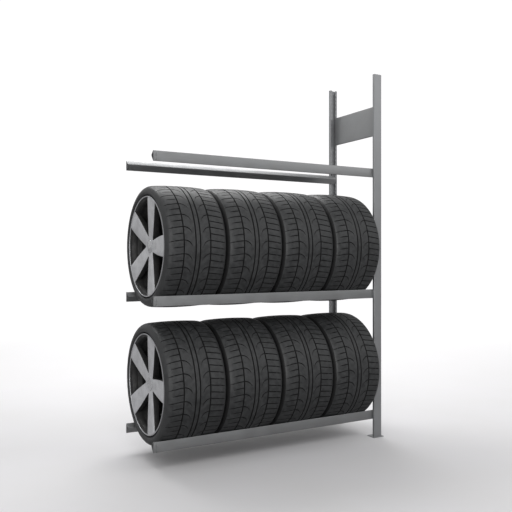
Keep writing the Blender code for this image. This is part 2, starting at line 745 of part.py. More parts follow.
def build_wheels():
    parts = {
        "tyre": (tyre_mesh(), (RUBBER_BLACK, 0.75, 0.0)),
        "rim": (rim_mesh(), (ALLOY_SILVER, 0.35, 0.7)),
        "centre_cap": (cap_mesh(), (CAP_SILVER, 0.25, 0.8)),
    }
    first_x = NEXT_FRAME_X + UPRIGHT_WIDTH / 2 + ROW_START_GAP + TYRE_WIDTH / 2
    axle_along_x = Matrix.Rotation(math.pi / 2, 4, "Y")
    for level in range(1, LOADED_LEVELS + 1):
        for position in range(1, WHEELS_PER_LEVEL + 1):
            name = f"level_{level}_wheel_{position}"
            axle = bpy.data.objects.new(f"{name}_axis", None)
            RACK.objects.link(axle)
            x = first_x + (position - 1) * WHEEL_PITCH
            centre = (x, 0.0, beam_top(level) + seat_height())
            turn = Matrix.Rotation((position - 1) * WHEEL_TURN_STEP, 4, "X")
            axle.matrix_world = Matrix.Translation(centre) @ turn
            for part, (mesh, look) in parts.items():
                add_node(f"{name}_{part}", mesh, axle_along_x, look, parent=axle)


build_uprights()
build_feet()
build_lock_pins()
build_panels()
build_beams()
build_wheels()
bpy.context.view_layer.update()
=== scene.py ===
"""Looks of a tyre storage rack: an add-on bay of coated steel that holds eight alloy wheels.

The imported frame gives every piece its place.  Units are metres, +X runs along the beams towards the
end frame, +Y from the front to the rear, and +Z is up.
"""

from __future__ import annotations

import json
import logging
import math
from dataclasses import dataclass, field
from enum import Enum, IntEnum
from typing import Any, Sequence

import bmesh
import bpy
from mathutils import Matrix, Vector

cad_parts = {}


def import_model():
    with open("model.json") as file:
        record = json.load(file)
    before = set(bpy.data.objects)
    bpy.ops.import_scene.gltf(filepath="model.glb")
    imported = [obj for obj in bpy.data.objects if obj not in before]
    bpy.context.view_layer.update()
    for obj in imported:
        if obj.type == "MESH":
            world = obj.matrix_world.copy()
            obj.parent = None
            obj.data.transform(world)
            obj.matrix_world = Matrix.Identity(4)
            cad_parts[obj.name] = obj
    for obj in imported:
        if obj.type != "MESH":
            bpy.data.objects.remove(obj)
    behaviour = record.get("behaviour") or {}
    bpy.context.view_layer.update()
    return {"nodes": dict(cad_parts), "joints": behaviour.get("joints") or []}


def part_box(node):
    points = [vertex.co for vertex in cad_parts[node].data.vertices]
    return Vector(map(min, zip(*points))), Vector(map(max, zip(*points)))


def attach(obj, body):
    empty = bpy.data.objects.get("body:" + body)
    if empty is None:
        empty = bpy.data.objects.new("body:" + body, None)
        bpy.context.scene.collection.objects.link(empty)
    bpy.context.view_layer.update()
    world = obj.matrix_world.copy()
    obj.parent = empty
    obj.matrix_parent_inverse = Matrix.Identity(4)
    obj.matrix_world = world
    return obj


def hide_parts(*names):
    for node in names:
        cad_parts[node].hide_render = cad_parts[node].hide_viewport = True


LOG = logging.getLogger("tyre_rack")
RACK_BODY = "rack"
LEVELS = (1, 2, 3)
LOADED_LEVELS = (1, 2)
WHEEL_PLACES = (1, 2, 3, 4)
PANELS = ("upper", "middle", "lower")
MM = 0.001

WELD_DISTANCE = 0.004 * MM
NOISE_ROUGHNESS = 0.55    # how strongly a noise's finer layers show
WARM_WHITE = (1.0, 0.995, 1.0, 1.0)
WHITE = (1.0, 1.0, 1.0, 1.0)

Point2 = tuple[float, float]
Point3 = tuple[float, float, float]


class Side(Enum):
    """The two long sides of the rack; the value is the sign of Y there."""

    FRONT = -1.0
    REAR = 1.0

    @property
    def label(self) -> str:
        """The word that node and piece names use for this side."""
        return self.name.lower()

    def post_faces(self) -> Point2:
        """Distances of the web's and the lips' outer faces of this side's post from the middle."""
        low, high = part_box(f"{self.label}_upright")
        near, far = sorted((abs(low.y), abs(high.y)))
        return far, near

    def turn_mesh(self, mesh: bpy.types.Mesh) -> None:
        """Mirror a mesh that was drawn for the rear, if this is the front."""
        if self is Side.FRONT:
            mesh.transform(Matrix.Diagonal((1.0, self.value, 1.0, 1.0)))
            mesh.flip_normals()


# ---------------------------------------------------------------------------------------------
# Colour and nodes
# ---------------------------------------------------------------------------------------------


def linear(colour: str) -> tuple[float, float, float, float]:
    """Turn an sRGB hex colour into linear RGBA.

    Args:
        colour: six hex digits after a hash sign.

    Returns:
        The linear red, green and blue, with an alpha of 1.
    """
    channels = [int(colour[start:start + 2], 16) / 255 for start in (1, 3, 5)]
    red, green, blue = (c / 12.92 if c <= 0.04045 else ((c + 0.055) / 1.055) ** 2.4 for c in channels)
    return red, green, blue, 1.0


def add_node(tree: bpy.types.NodeTree, kind: str, inputs: dict[Any, Any] | None = None,
             **settings: Any) -> bpy.types.Node:
    """Add a node with its settings and links.

    Args:
        tree: the node tree that gets the node.
        kind: the node's type name.
        inputs: socket name or number to a value, or to the output socket that feeds it.
        **settings: attributes of the node itself.

    Returns:
        The new node.
    """
    node = tree.nodes.new(kind)
    for key, value in settings.items():
        setattr(node, key, value)
    for socket, value in (inputs or {}).items():
        if isinstance(value, bpy.types.NodeSocket):
            tree.links.new(value, node.inputs[socket])
        else:
            node.inputs[socket].default_value = value
    return node


def feed(shader: bpy.types.Node, name: str, source: bpy.types.NodeSocket) -> None:
    """Link a socket to the shader's input of that name."""
    shader.id_data.links.new(source, shader.inputs[name])


@dataclass(frozen=True)
class Finish:
    """A finish that covers a piece; every kind of finish adds its own pattern nodes.

    Colours are sRGB hex values, and a share says how much of a second colour shows at most.
    """

    name: str
    slot: str
    colour: str
    roughness: float
    metallic: float = 0.0

    def pattern(self, tree: bpy.types.NodeTree, shader: bpy.types.Node) -> None:
        """Add the nodes that give this finish its detail."""

    def tint(self, shader: bpy.types.Node, noise: bpy.types.NodeSocket, colour: str, share: float) -> None:
        """Let a second colour show through the finish's own in patches.

        Args:
            shader: the finish's shader.
            noise: socket with the patches.
            colour: the second colour.
            share: how much of it shows at most.
        """
        tree = shader.id_data
        mask = ramped(tree, noise, 0.0, share)
        feed(shader, "Base Color", blended(tree, mask, linear(self.colour), linear(colour)))

    def vary_sheen(self, shader: bpy.types.Node, noise: bpy.types.NodeSocket, less: float, more: float,
                   **limits: float) -> None:
        """Spread the roughness from less under to more above the finish's own, as for ramped."""
        rough = ramped(shader.id_data, noise, self.roughness - less, self.roughness + more, **limits)
        feed(shader, "Roughness", rough)

    def relief(self, shader: bpy.types.Node, height: bpy.types.NodeSocket, depth: float,
               strength: float) -> None:
        """Bump the surface.

        Args:
            shader: the finish's shader.
            height: socket with the height from 0 to 1.
            depth: height of the relief in metres.
            strength: share of the relief that the light sees.
        """
        bump = add_node(shader.id_data, "ShaderNodeBump",
                        {"Height": height, "Distance": depth, "Strength": strength})
        feed(shader, "Normal", bump.outputs["Normal"])

    def make(self) -> bpy.types.Material:
        """Build the material once, and give the same one back after that."""
        known = bpy.data.materials.get(self.name)
        if known is not None:
            return known
        material = bpy.data.materials.new(self.name)
        material.use_nodes = True
        tree = material.node_tree
        shader = tree.nodes["Principled BSDF"]
        shader.inputs["Base Color"].default_value = linear(self.colour)
        shader.inputs["Roughness"].default_value = self.roughness
        shader.inputs["Metallic"].default_value = self.metallic
        material.diffuse_color = linear(self.colour)
        self.pattern(tree, shader)
        return material


def place_of(tree: bpy.types.NodeTree, stretch: Point3 = (1.0, 1.0, 1.0)) -> bpy.types.NodeSocket:
    """Coordinates that stay on the piece, in metres.

    Args:
        tree: the material's node tree.
        stretch: factor on each axis; a small one draws a pattern out along that axis.

    Returns:
        The socket that gives the coordinates.
    """
    place = add_node(tree, "ShaderNodeTexCoord")
    scaled = add_node(tree, "ShaderNodeMapping", {"Vector": place.outputs["Object"], "Scale": stretch})
    return scaled.outputs["Vector"]


def speckle(tree: bpy.types.NodeTree, grain: float, detail: float = 2.0,
            stretch: Point3 = (1.0, 1.0, 1.0)) -> bpy.types.NodeSocket:
    """A cloudy noise from 0 to 1.

    Args:
        tree: the material's node tree.
        grain: size of one patch in metres.
        detail: number of finer layers.
        stretch: factor on each axis, as for place_of.

    Returns:
        The socket that gives the noise.
    """
    noise = add_node(tree, "ShaderNodeTexNoise", {
        "Vector": place_of(tree, stretch), "Scale": 1.0 / grain, "Detail": detail,
        "Roughness": NOISE_ROUGHNESS})
    return noise.outputs["Fac"]


def ramped(tree: bpy.types.NodeTree, value: bpy.types.NodeSocket, low: float, high: float,
           start: float = 0.35, end: float = 0.65) -> bpy.types.NodeSocket:
    """Spread a value between two results.

    Args:
        tree: the material's node tree.
        value: the socket to spread.
        low: the result at start.
        high: the result at end.
        start: value that gives low.
        end: value that gives high.

    Returns:
        The socket that gives the result, held between low and high.
    """
    spread = add_node(tree, "ShaderNodeMapRange", {
        "Value": value, "From Min": start, "From Max": end, "To Min": low, "To Max": high})
    return spread.outputs["Result"]


def blended(tree: bpy.types.NodeTree, share: bpy.types.NodeSocket, first: Any,
            second: Any) -> bpy.types.NodeSocket:
    """Mix two colours by a share from 0 to 1; each is a colour or the socket that gives one."""
    mix = add_node(tree, "ShaderNodeMix", {0: share, 6: first, 7: second}, data_type="RGBA")
    return mix.outputs[2]


# ---------------------------------------------------------------------------------------------
# Finishes
# ---------------------------------------------------------------------------------------------


@dataclass(frozen=True)
class SilverPowderCoat(Finish):
    """Silver-grey metallic powder coat on rolled sheet: flat sheen, fine orange peel, faint clouds."""

    peel: float = 1.6 * MM      # real orange peel is about half of this, which would not show
    cloud: float = 85 * MM      # patches where the spray lay a little thicker
    rub_length: float = 60 * MM  # long light marks where wheels and hands have slid along
    rub_stretch: Point3 = (0.22, 3.0, 3.0)
    rub_start: float = 0.60
    rub_end: float = 0.72
    cloud_colour: str = "#aaacae"
    cloud_share: float = 0.22
    rub_colour: str = "#b7b9bb"
    rub_share: float = 0.14

    def pattern(self, tree: bpy.types.NodeTree, shader: bpy.types.Node) -> None:
        """Clouds tint the coat and vary its sheen, rub marks make it lighter, and the peel breaks the
        sheen.
        """
        clouds = speckle(tree, self.cloud, 3.0)
        cloud_mask = ramped(tree, clouds, 0.0, self.cloud_share)
        tinted = blended(tree, cloud_mask, linear(self.colour), linear(self.cloud_colour))
        rubs = speckle(tree, self.rub_length, 5.0, self.rub_stretch)
        rub_mask = ramped(tree, rubs, 0.0, self.rub_share, self.rub_start, self.rub_end)
        feed(shader, "Base Color", blended(tree, rub_mask, tinted, linear(self.rub_colour)))
        self.vary_sheen(shader, clouds, 0.04, 0.05)
        self.relief(shader, speckle(tree, self.peel, 1.0), 0.12 * MM, 0.35)


@dataclass(frozen=True)
class ZincPlating(Finish):
    """Bright zinc on small screws: pale metal with a faint yellow and blue passivation."""

    passivation: str = "#b9b7a8"
    drift: float = 3 * MM       # patches of one tint
    grain: float = 0.8 * MM     # grain of the sheen

    def pattern(self, tree: bpy.types.NodeTree, shader: bpy.types.Node) -> None:
        """Passivation drifts between two pale tints within a few millimetres."""
        self.tint(shader, speckle(tree, self.drift), self.passivation, 1.0)
        self.vary_sheen(shader, speckle(tree, self.grain), 0.08, 0.10)


@dataclass(frozen=True)
class MouldedNylon(Finish):
    """Black moulded nylon pins: a dull skin with a fine spark-eroded grain from the mould."""

    dust: str = "#3a3a3c"
    dust_share: float = 0.5
    grain: float = 0.4 * MM

    def pattern(self, tree: bpy.types.NodeTree, shader: bpy.types.Node) -> None:
        """The mould's grain scatters the light, and dust greys the colour a little."""
        self.tint(shader, speckle(tree, 4 * MM), self.dust, self.dust_share)
        self.relief(shader, speckle(tree, self.grain), 0.05 * MM, 0.5)


@dataclass(frozen=True)
class TyreRubber(Finish):
    """Cured carbon-black rubber: dark satin with a bloom of grey and a skin that is never quite even."""

    bloom: str = "#4a4b4c"
    bloom_share: float = 0.45
    skin: float = 1.2 * MM     # skin texture left by the mould, drawn twice its real size to show
    scuff: float = 22 * MM     # patches of bloom and handling

    def pattern(self, tree: bpy.types.NodeTree, shader: bpy.types.Node) -> None:
        """Bloom greys the rubber in patches, rougher there, over a finely pitted skin."""
        patches = speckle(tree, self.scuff, 4.0)
        self.tint(shader, patches, self.bloom, self.bloom_share)
        self.vary_sheen(shader, patches, 0.05, 0.08)
        self.relief(shader, speckle(tree, self.skin), 0.15 * MM, 0.4)


@dataclass(frozen=True)
class SilverLacquer(Finish):
    """Cast alloy under silver wheel lacquer: fine metal flakes below a smooth clear coat."""

    flake: float = 0.9 * MM    # real flakes are a tenth of this and would not show
    flake_colour: str = "#c9cacd"
    dust: str = "#8f9092"
    dust_share: float = 0.30
    clear_coat: float = 0.35
    coat_roughness: float = 0.08

    def pattern(self, tree: bpy.types.NodeTree, shader: bpy.types.Node) -> None:
        """Flakes vary in tone and tilt, and the clear coat over them stays smooth."""
        cells = add_node(tree, "ShaderNodeTexVoronoi",
                         {"Vector": place_of(tree), "Scale": 1.0 / self.flake})
        tone = ramped(tree, cells.outputs["Color"], 0.0, 1.0, 0.0, 1.0)
        flakes = blended(tree, tone, linear(self.colour), linear(self.flake_colour))
        share = ramped(tree, speckle(tree, 40 * MM, 3.0), 0.0, self.dust_share)
        feed(shader, "Base Color", blended(tree, share, flakes, linear(self.dust)))
        self.vary_sheen(shader, speckle(tree, 30 * MM), 0.04, 0.06)
        self.relief(shader, tone, 0.02 * MM, 0.25)
        shader.inputs["Coat Weight"].default_value = self.clear_coat
        shader.inputs["Coat Roughness"].default_value = self.coat_roughness


@dataclass(frozen=True)
class TurnedAlloy(Finish):
    """Lathe-turned aluminium: bright, with concentric tool marks about the wheel's axis."""

    mark_spacing: float = 2.2 * math.pi * MM     # drawn far too coarse, so that the marks show
    wave_factor: int = 20                        # the wave texture's own factor on its distance
    haze: str = "#b4b5b8"
    haze_share: float = 0.4

    def pattern(self, tree: bpy.types.NodeTree, shader: bpy.types.Node) -> None:
        """Rings of the turning tool catch the light as fine circles."""
        rings = add_node(tree, "ShaderNodeTexWave",
                         {"Vector": place_of(tree),
                          "Scale": 2 * math.pi / (self.mark_spacing * self.wave_factor),
                          "Distortion": 0.4, "Detail": 1.0, "Detail Scale": 2.0},
                         wave_type="RINGS", rings_direction="X")
        marks = rings.outputs["Fac"]
        self.vary_sheen(shader, marks, 0.05, 0.06, start=0.0, end=1.0)
        self.relief(shader, marks, 0.03 * MM, 0.3)
        self.tint(shader, speckle(tree, 25 * MM, 3.0), self.haze, self.haze_share)


@dataclass(frozen=True)
class BarrelPaint(Finish):
    """Dark paint inside the rim: dull, with brake dust lying in it."""

    dust: str = "#34322f"
    dust_share: float = 0.6

    def pattern(self, tree: bpy.types.NodeTree, shader: bpy.types.Node) -> None:
        """Dust lightens the paint in soft patches and takes away its sheen."""
        self.tint(shader, speckle(tree, 18 * MM, 4.0), self.dust, self.dust_share)
        self.vary_sheen(shader, speckle(tree, 30 * MM), 0.08, 0.12)
        self.relief(shader, speckle(tree, 1.5 * MM), 0.08 * MM, 0.35)


@dataclass(frozen=True)
class StudioFloor(Finish):
    """Matt pale floor paint that runs into the lit backdrop, and gives dimmer light to the rack."""

    glow: float = 0.62              # the paint's own light where it has run into the backdrop
    slant: float = 29.4             # degrees from +Y to the direction in which the backdrop lies
    glow_start: float = -0.1        # distance in that direction where the glow sets in
    glow_end: float = 5.2
    surround_start: float = 2.0     # distance in any direction where the studio's far floor lights up
    surround_end: float = 6.0
    mottle: str = "#e6e5e6"
    mottle_size: float = 0.6
    bounce: str = "#a2a1a2"         # what the floor gives back to the rack's undersides

    def pattern(self, tree: bpy.types.NodeTree, shader: bpy.types.Node) -> None:
        """The paint's own light grows behind the rack and, further out, all round."""
        place = add_node(tree, "ShaderNodeTexCoord")
        slant = math.radians(self.slant)
        reach = add_node(tree, "ShaderNodeVectorMath", {
            0: place.outputs["Object"], 1: (math.sin(slant), math.cos(slant), 0.0)},
            operation="DOT_PRODUCT")
        share = ramped(tree, speckle(tree, self.mottle_size), 0.0, 1.0)
        feed(shader, "Base Color", blended(tree, share, linear(self.mottle), linear(self.colour)))
        behind = ramped(tree, reach.outputs["Value"], 0.0, self.glow, self.glow_start, self.glow_end)
        away = add_node(tree, "ShaderNodeVectorMath", {0: place.outputs["Object"]}, operation="LENGTH")
        around = ramped(tree, away.outputs["Value"], 0.0, self.glow,
                        self.surround_start, self.surround_end)
        glow = add_node(tree, "ShaderNodeMath", {0: behind, 1: around}, operation="MAXIMUM").outputs[0]
        shader.inputs["Emission Color"].default_value = WARM_WHITE
        feed(shader, "Emission Strength", glow)
        rays = add_node(tree, "ShaderNodeLightPath")
        dim = add_node(tree, "ShaderNodeBsdfDiffuse", {"Color": linear(self.bounce)})
        shown = add_node(tree, "ShaderNodeMixShader", {
            0: rays.outputs["Is Camera Ray"], 1: dim.outputs[0], 2: shader.outputs[0]})
        feed(tree.nodes["Material Output"], "Surface", shown.outputs[0])


FRAME_COAT = SilverPowderCoat(
    "silver_powder_coat_on_rolled_frame_steel", "frame_steel", "#9a9b9d", 0.42, 0.60)
BEAM_COAT = SilverPowderCoat("silver_powder_coat_on_beam_steel", "beam_steel", "#9c9d9e", 0.42, 0.86)
PANEL_COAT = SilverPowderCoat("silver_powder_coat_on_panel_steel", "panel_steel", "#949596", 0.44, 0.40)
SCREW_ZINC = ZincPlating("bright_zinc_plated_screw_steel", "zinc_screws", "#b4b8bd", 0.32, 0.95)
PIN_NYLON = MouldedNylon("black_moulded_nylon_pin", "pin_black", "#222224", 0.55)
TREAD_RUBBER = TyreRubber("cured_tread_rubber", "tyre_rubber", "#262728", 0.52)
# Painted shade: near-black rubber on the walls and floors of deep grooves, where the tread's own rubber
# lies in shade.
PAINTED_SHADE_GROOVE_RUBBER = TyreRubber(
    "groove_rubber_in_shade_of_tread", "tyre_rubber", "#0e0e0f", 0.80, bloom="#161616", bloom_share=0.3)
SIDEWALL_RUBBER = TyreRubber(
    "smooth_moulded_sidewall_rubber", "tyre_rubber", "#2e2f30", 0.44, bloom="#454647", bloom_share=0.35)
# Painted shade: near-black rubber on a sidewall where the next wheel stands against it.
PAINTED_SHADE_SIDEWALL_RUBBER = TyreRubber(
    "sidewall_rubber_covered_by_next_wheel", "tyre_rubber", "#0c0c0d", 0.62,
    bloom="#121213", bloom_share=0.3)
VALVE_RUBBER = TyreRubber("valve_stem_rubber", "tyre_rubber", "#1d1d1e", 0.50)
SPOKE_LACQUER = SilverLacquer("silver_lacquered_cast_alloy", "alloy_rim", "#e6e7ea", 0.46, 0.28)
CAP_ALLOY = SilverLacquer("silver_lacquered_cap", "cap_metal", "#d6d7da", 0.24, 0.40, clear_coat=0.8)
LIP_ALLOY = TurnedAlloy("lathe_turned_alloy_lip", "alloy_rim", "#c4c5c8", 0.36, 0.60)
RIM_PAINT = BarrelPaint("dark_barrel_paint_with_dust", "alloy_rim", "#1d1e20", 0.55, 0.1)
FLOOR_PAINT = StudioFloor("matt_pale_floor_paint", "floor", "#e8e7e9", 0.75)


class TyreSkin(IntEnum):
    """Places of a tyre's finishes in TYRE_FINISHES."""

    TREAD = 0
    # painted shade in the deep grooves
    GROOVE = 1
    SIDEWALL = 2
    # painted shade on a sidewall beside the next wheel
    COVERED = 3


TYRE_FINISHES = (TREAD_RUBBER, PAINTED_SHADE_GROOVE_RUBBER, SIDEWALL_RUBBER, PAINTED_SHADE_SIDEWALL_RUBBER)


# ---------------------------------------------------------------------------------------------
# Mesh helpers
# ---------------------------------------------------------------------------------------------


@dataclass
class Shell:
    """Points and faces gathered for one piece, with a finish number for each face."""

    points: list[Point3] = field(default_factory=list)
    faces: list[tuple[int, ...]] = field(default_factory=list)
    skins: list[int] = field(default_factory=list)

    def loft(self, loops: Sequence[Sequence[Point3]], ring: bool = False, caps: bool = False,
             skin: int | Sequence[int] = 0) -> None:
        """Join loops of equal length by bands of four-sided faces.

        Args:
            loops: the loops in order.
            ring: whether the last loop joins the first one again.
            caps: whether the first and last loops are closed by a flat face.
            skin: finish number of all bands, or one for each band.
        """
        start = len(self.points)
        width = len(loops[0])
        for loop in loops:
            self.points.extend(tuple(point) for point in loop)
        bands = len(loops) if ring else len(loops) - 1
        skins = [skin] * bands if isinstance(skin, int) else list(skin)
        for band in range(bands):
            here = start + band * width
            there = start + (band + 1) % len(loops) * width
            for step in range(width):
                after = (step + 1) % width
                self.faces.append((here + step, here + after, there + after, there + step))
                self.skins.append(skins[band])
        if caps:
            last = start + (len(loops) - 1) * width
            self.faces.append(tuple(range(start + width - 1, start - 1, -1)))
            self.faces.append(tuple(range(last, last + width)))
            self.skins += [skins[0], skins[-1]]

    def piece(self, name: str, finishes: Sequence[Finish], smooth: float | None = 30.0,
              place: Matrix | None = None) -> bpy.types.Object:
        """Turn the shell into an object.

        Args:
            name: the piece's name.
            finishes: finishes in the order of the faces' finish numbers.
            smooth: largest angle in degrees between faces that shade as one, or None for flat ones.
            place: where the piece's own axes lie in the rack.

        Returns:
            The new object, linked to the scene.
        """
        return put(name, self.mesh(name, finishes, smooth), place)

    def mesh(self, name: str, finishes: Sequence[Finish], smooth: float | None = 30.0) -> bpy.types.Mesh:
        """Turn the shell into a mesh with outward normals; arguments as for piece."""
        mesh = bpy.data.meshes.new(name)
        mesh.from_pydata(self.points, [], self.faces)
        mesh.polygons.foreach_set("material_index", self.skins)
        for finish in finishes:
            mesh.materials.append(finish.make())
        work = bmesh.new()
        work.from_mesh(mesh)
        bmesh.ops.remove_doubles(work, verts=work.verts, dist=WELD_DISTANCE)
        bmesh.ops.recalc_face_normals(work, faces=work.faces)
        work.to_mesh(mesh)
        work.free()
        if smooth is not None:
            shade(mesh, smooth)
        return mesh


def shade(mesh: bpy.types.Mesh, degrees: float) -> None:
    """Shade a mesh smoothly, apart from edges sharper than the given angle."""
    mesh.shade_smooth()
    mesh.set_sharp_from_angle(angle=math.radians(degrees))


def put(name: str, mesh: bpy.types.Mesh, place: Matrix | None = None) -> bpy.types.Object:
    """Link a new object that shows the mesh at the given place."""
    thing = bpy.data.objects.new(name, mesh)
    bpy.context.scene.collection.objects.link(thing)
    if place is not None:
        thing.matrix_world = place
    return thing


def fit_to_rack(piece: bpy.types.Object, body: str, finish: Finish, *nodes: str) -> bpy.types.Object:
    """Let a piece ride on a body in place of CAD nodes.

    Args:
        piece: the finished piece.
        body: name of the CAD body.
        finish: not used.
        *nodes: the CAD nodes that it stands for.

    Returns:
        The piece.
    """
    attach(piece, body)
    if nodes:
        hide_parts(*nodes)
    LOG.info("%s on %s, %d faces", piece.name, body, len(piece.data.polygons))
    return piece


def rectangle(left: float, low: float, right: float, high: float) -> list[Point2]:
    """Corners of a rectangle, counter-clockwise from the lowest left one."""
    return [(left, low), (right, low), (right, high), (left, high)]


def circle(radius: float, steps: int) -> list[Point2]:
    """Points of a circle about the origin."""
    turns = (2 * math.pi * step / steps for step in range(steps))
    return [(radius * math.cos(turn), radius * math.sin(turn)) for turn in turns]


def ring_about_x(radius: float, x: float, steps: int) -> list[Point3]:
    """Points of a circle about the X axis, from -Y on."""
    return [(x, y, z) for y, z in circle(-radius, steps)]


def corner_of(corners: Sequence[Point2], index: int) -> tuple[Vector, Vector, Vector, float]:
    """Look at one corner of a closed outline.

    Args:
        corners: the corners in order.
        index: number of the corner.

    Returns:
        Its place, the directions to its two neighbours, and half of the angle between them.
    """
    here = Vector(corners[index])
    before = (Vector(corners[index - 1]) - here).normalized()
    after = (Vector(corners[(index + 1) % len(corners)]) - here).normalized()
    return here, before, after, before.angle(after) / 2


def rounded(corners: Sequence[Point2], radii: Sequence[float], steps: int = 4) -> list[Point2]:
    """Round the corners of a closed outline.

    Args:
        corners: the corners in order.
        radii: radius at each corner; 0 leaves it sharp.
        steps: straight steps in each arc.

    Returns:
        The outline's points.
    """
    points: list[Point2] = []
    for index, radius in enumerate(radii):
        if radius <= 0.0:
            points.append(corners[index])
            continue
        here, before, after, half_angle = corner_of(corners, index)
        reach = radius / math.tan(half_angle)
        centre = here + (before + after).normalized() * radius / math.sin(half_angle)
        start = here + before * reach - centre
        turn = start.angle_signed(here + after * reach - centre)
        for step in range(steps + 1):
            spot = centre + Matrix.Rotation(-turn * step / steps, 2) @ start
            points.append((spot.x, spot.y))
    return points


def moved_in(corners: Sequence[Point2], inset: float) -> list[Point2]:
    """Corners of a convex outline after every side has moved inwards by the inset."""
    result = []
    for index in range(len(corners)):
        here, before, after, half_angle = corner_of(corners, index)
        spot = here + (before + after).normalized() * inset / math.sin(half_angle)
        result.append((spot.x, spot.y))
    return result


def evaluated_mesh(thing: bpy.types.Object) -> bpy.types.Mesh:
    """A new mesh with the object's modifiers or curve settings applied."""
    bpy.context.view_layer.update()
    graph = bpy.context.evaluated_depsgraph_get()
    return bpy.data.meshes.new_from_object(thing.evaluated_get(graph))


def cut_out(piece: bpy.types.Object, cutter: bpy.types.Object) -> None:
    """Take the cutter's shape out of the piece, and remove the cutter."""
    modifier = piece.modifiers.new("cut", "BOOLEAN")
    modifier.operation = "DIFFERENCE"
    modifier.solver = "EXACT"
    modifier.object = cutter
    mesh = evaluated_mesh(piece)
    piece.modifiers.clear()
    piece.data = mesh
    bpy.data.objects.remove(cutter, do_unlink=True)


# ---------------------------------------------------------------------------------------------
# Uprights
# ---------------------------------------------------------------------------------------------


@dataclass
class Uprights:
    """The two C-section posts of the end frame, each with a full row of slots in either lip."""

    sheet: float = 1.5 * MM
    lip: float = 14.0 * MM
    bend: float = 2.5 * MM
    slot_pitch: float = 24.7 * MM
    slot_width: float = 4.6 * MM
    slot_height: float = 15 * MM
    slot_from_side: float = 9.4 * MM
    lowest_slot_over_beam: float = -1.5    # in pitches, from a beam's top edge
    slot_roundness: float = 0.98           # radius of a slot's end against half of its width
    cutter_depth: float = 2.4              # in sheets, beyond the lip's outer face
    bend_steps: int = 5
    slot_end_steps: int = 4

    def section(self, half: float, web: float, lips: float) -> list[Point2]:
        """Outline of the rear post about its own middle.

        Args:
            half: half of the web's width.
            web: Y of the web's outer face.
            lips: Y of the lips' outer face.

        Returns:
            The closed outline of the folded sheet.
        """
        inside = half - self.sheet
        lip_end = half - self.lip
        corners = [
            (-half, web), (half, web), (half, lips), (lip_end, lips), (lip_end, lips + self.sheet),
            (inside, lips + self.sheet), (inside, web - self.sheet), (-inside, web - self.sheet),
            (-inside, lips + self.sheet), (-lip_end, lips + self.sheet), (-lip_end, lips),
            (-half, lips),
        ]
        outer, inner = self.bend, self.bend - self.sheet
        radii = [outer, outer, outer, 0, 0, inner, inner, inner, inner, 0, 0, outer]
        return rounded(corners, radii, self.bend_steps)

    def slot_heights(self, base: float, top: float, beam_top: float) -> list[float]:
        """Heights of a row of slots that fits the beams' hooks."""
        first = beam_top + self.lowest_slot_over_beam * self.slot_pitch
        while first - self.slot_pitch > base + self.slot_pitch / 2:
            first -= self.slot_pitch
        count = int((top - self.slot_pitch / 2 - first) / self.slot_pitch) + 1
        return [first + index * self.slot_pitch for index in range(count)]

    def slot_cutter(self, half: float, lips: float, heights: Sequence[float]) -> bpy.types.Object:
        """All slots of one post as one cutter, with rounded ends."""
        shell = Shell()
        wide, tall = self.slot_width / 2, self.slot_height / 2
        corners = rectangle(-wide, -tall, wide, tall)
        outline = rounded(corners, [wide * self.slot_roundness] * 4, self.slot_end_steps)
        near, far = lips - self.sheet, lips + self.cutter_depth * self.sheet
        for x in (self.slot_from_side - half, half - self.slot_from_side):
            for height in heights:
                loops = [[(x + u, y, height + v) for u, v in outline] for y in (near, far)]
                shell.loft(loops, caps=True)
        return shell.piece("slot_cutter", [], None)

    def build(self) -> None:
        """Make both posts; the front one is the rear one in a mirror."""
        beam_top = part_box("level_1_rear_beam")[1].z
        for side in Side:
            node = f"{side.label}_upright"
            low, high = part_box(node)
            middle, half = (low.x + high.x) / 2, (high.x - low.x) / 2
            web, lips = side.post_faces()
            shell = Shell()
            outline = self.section(half, web, lips)
            shell.loft([[(u, v, z) for u, v in outline] for z in (low.z, high.z)], caps=True)
            post = shell.piece(node.replace("upright", "slotted_post"), [FRAME_COAT], None)
            cut_out(post, self.slot_cutter(half, lips, self.slot_heights(low.z, high.z, beam_top)))
            side.turn_mesh(post.data)
            shade(post.data, 32.0)
            post.matrix_world = Matrix.Translation((middle, 0.0, 0.0))
            fit_to_rack(post, RACK_BODY, FRAME_COAT, node)


# ---------------------------------------------------------------------------------------------
# Beams
# ---------------------------------------------------------------------------------------------


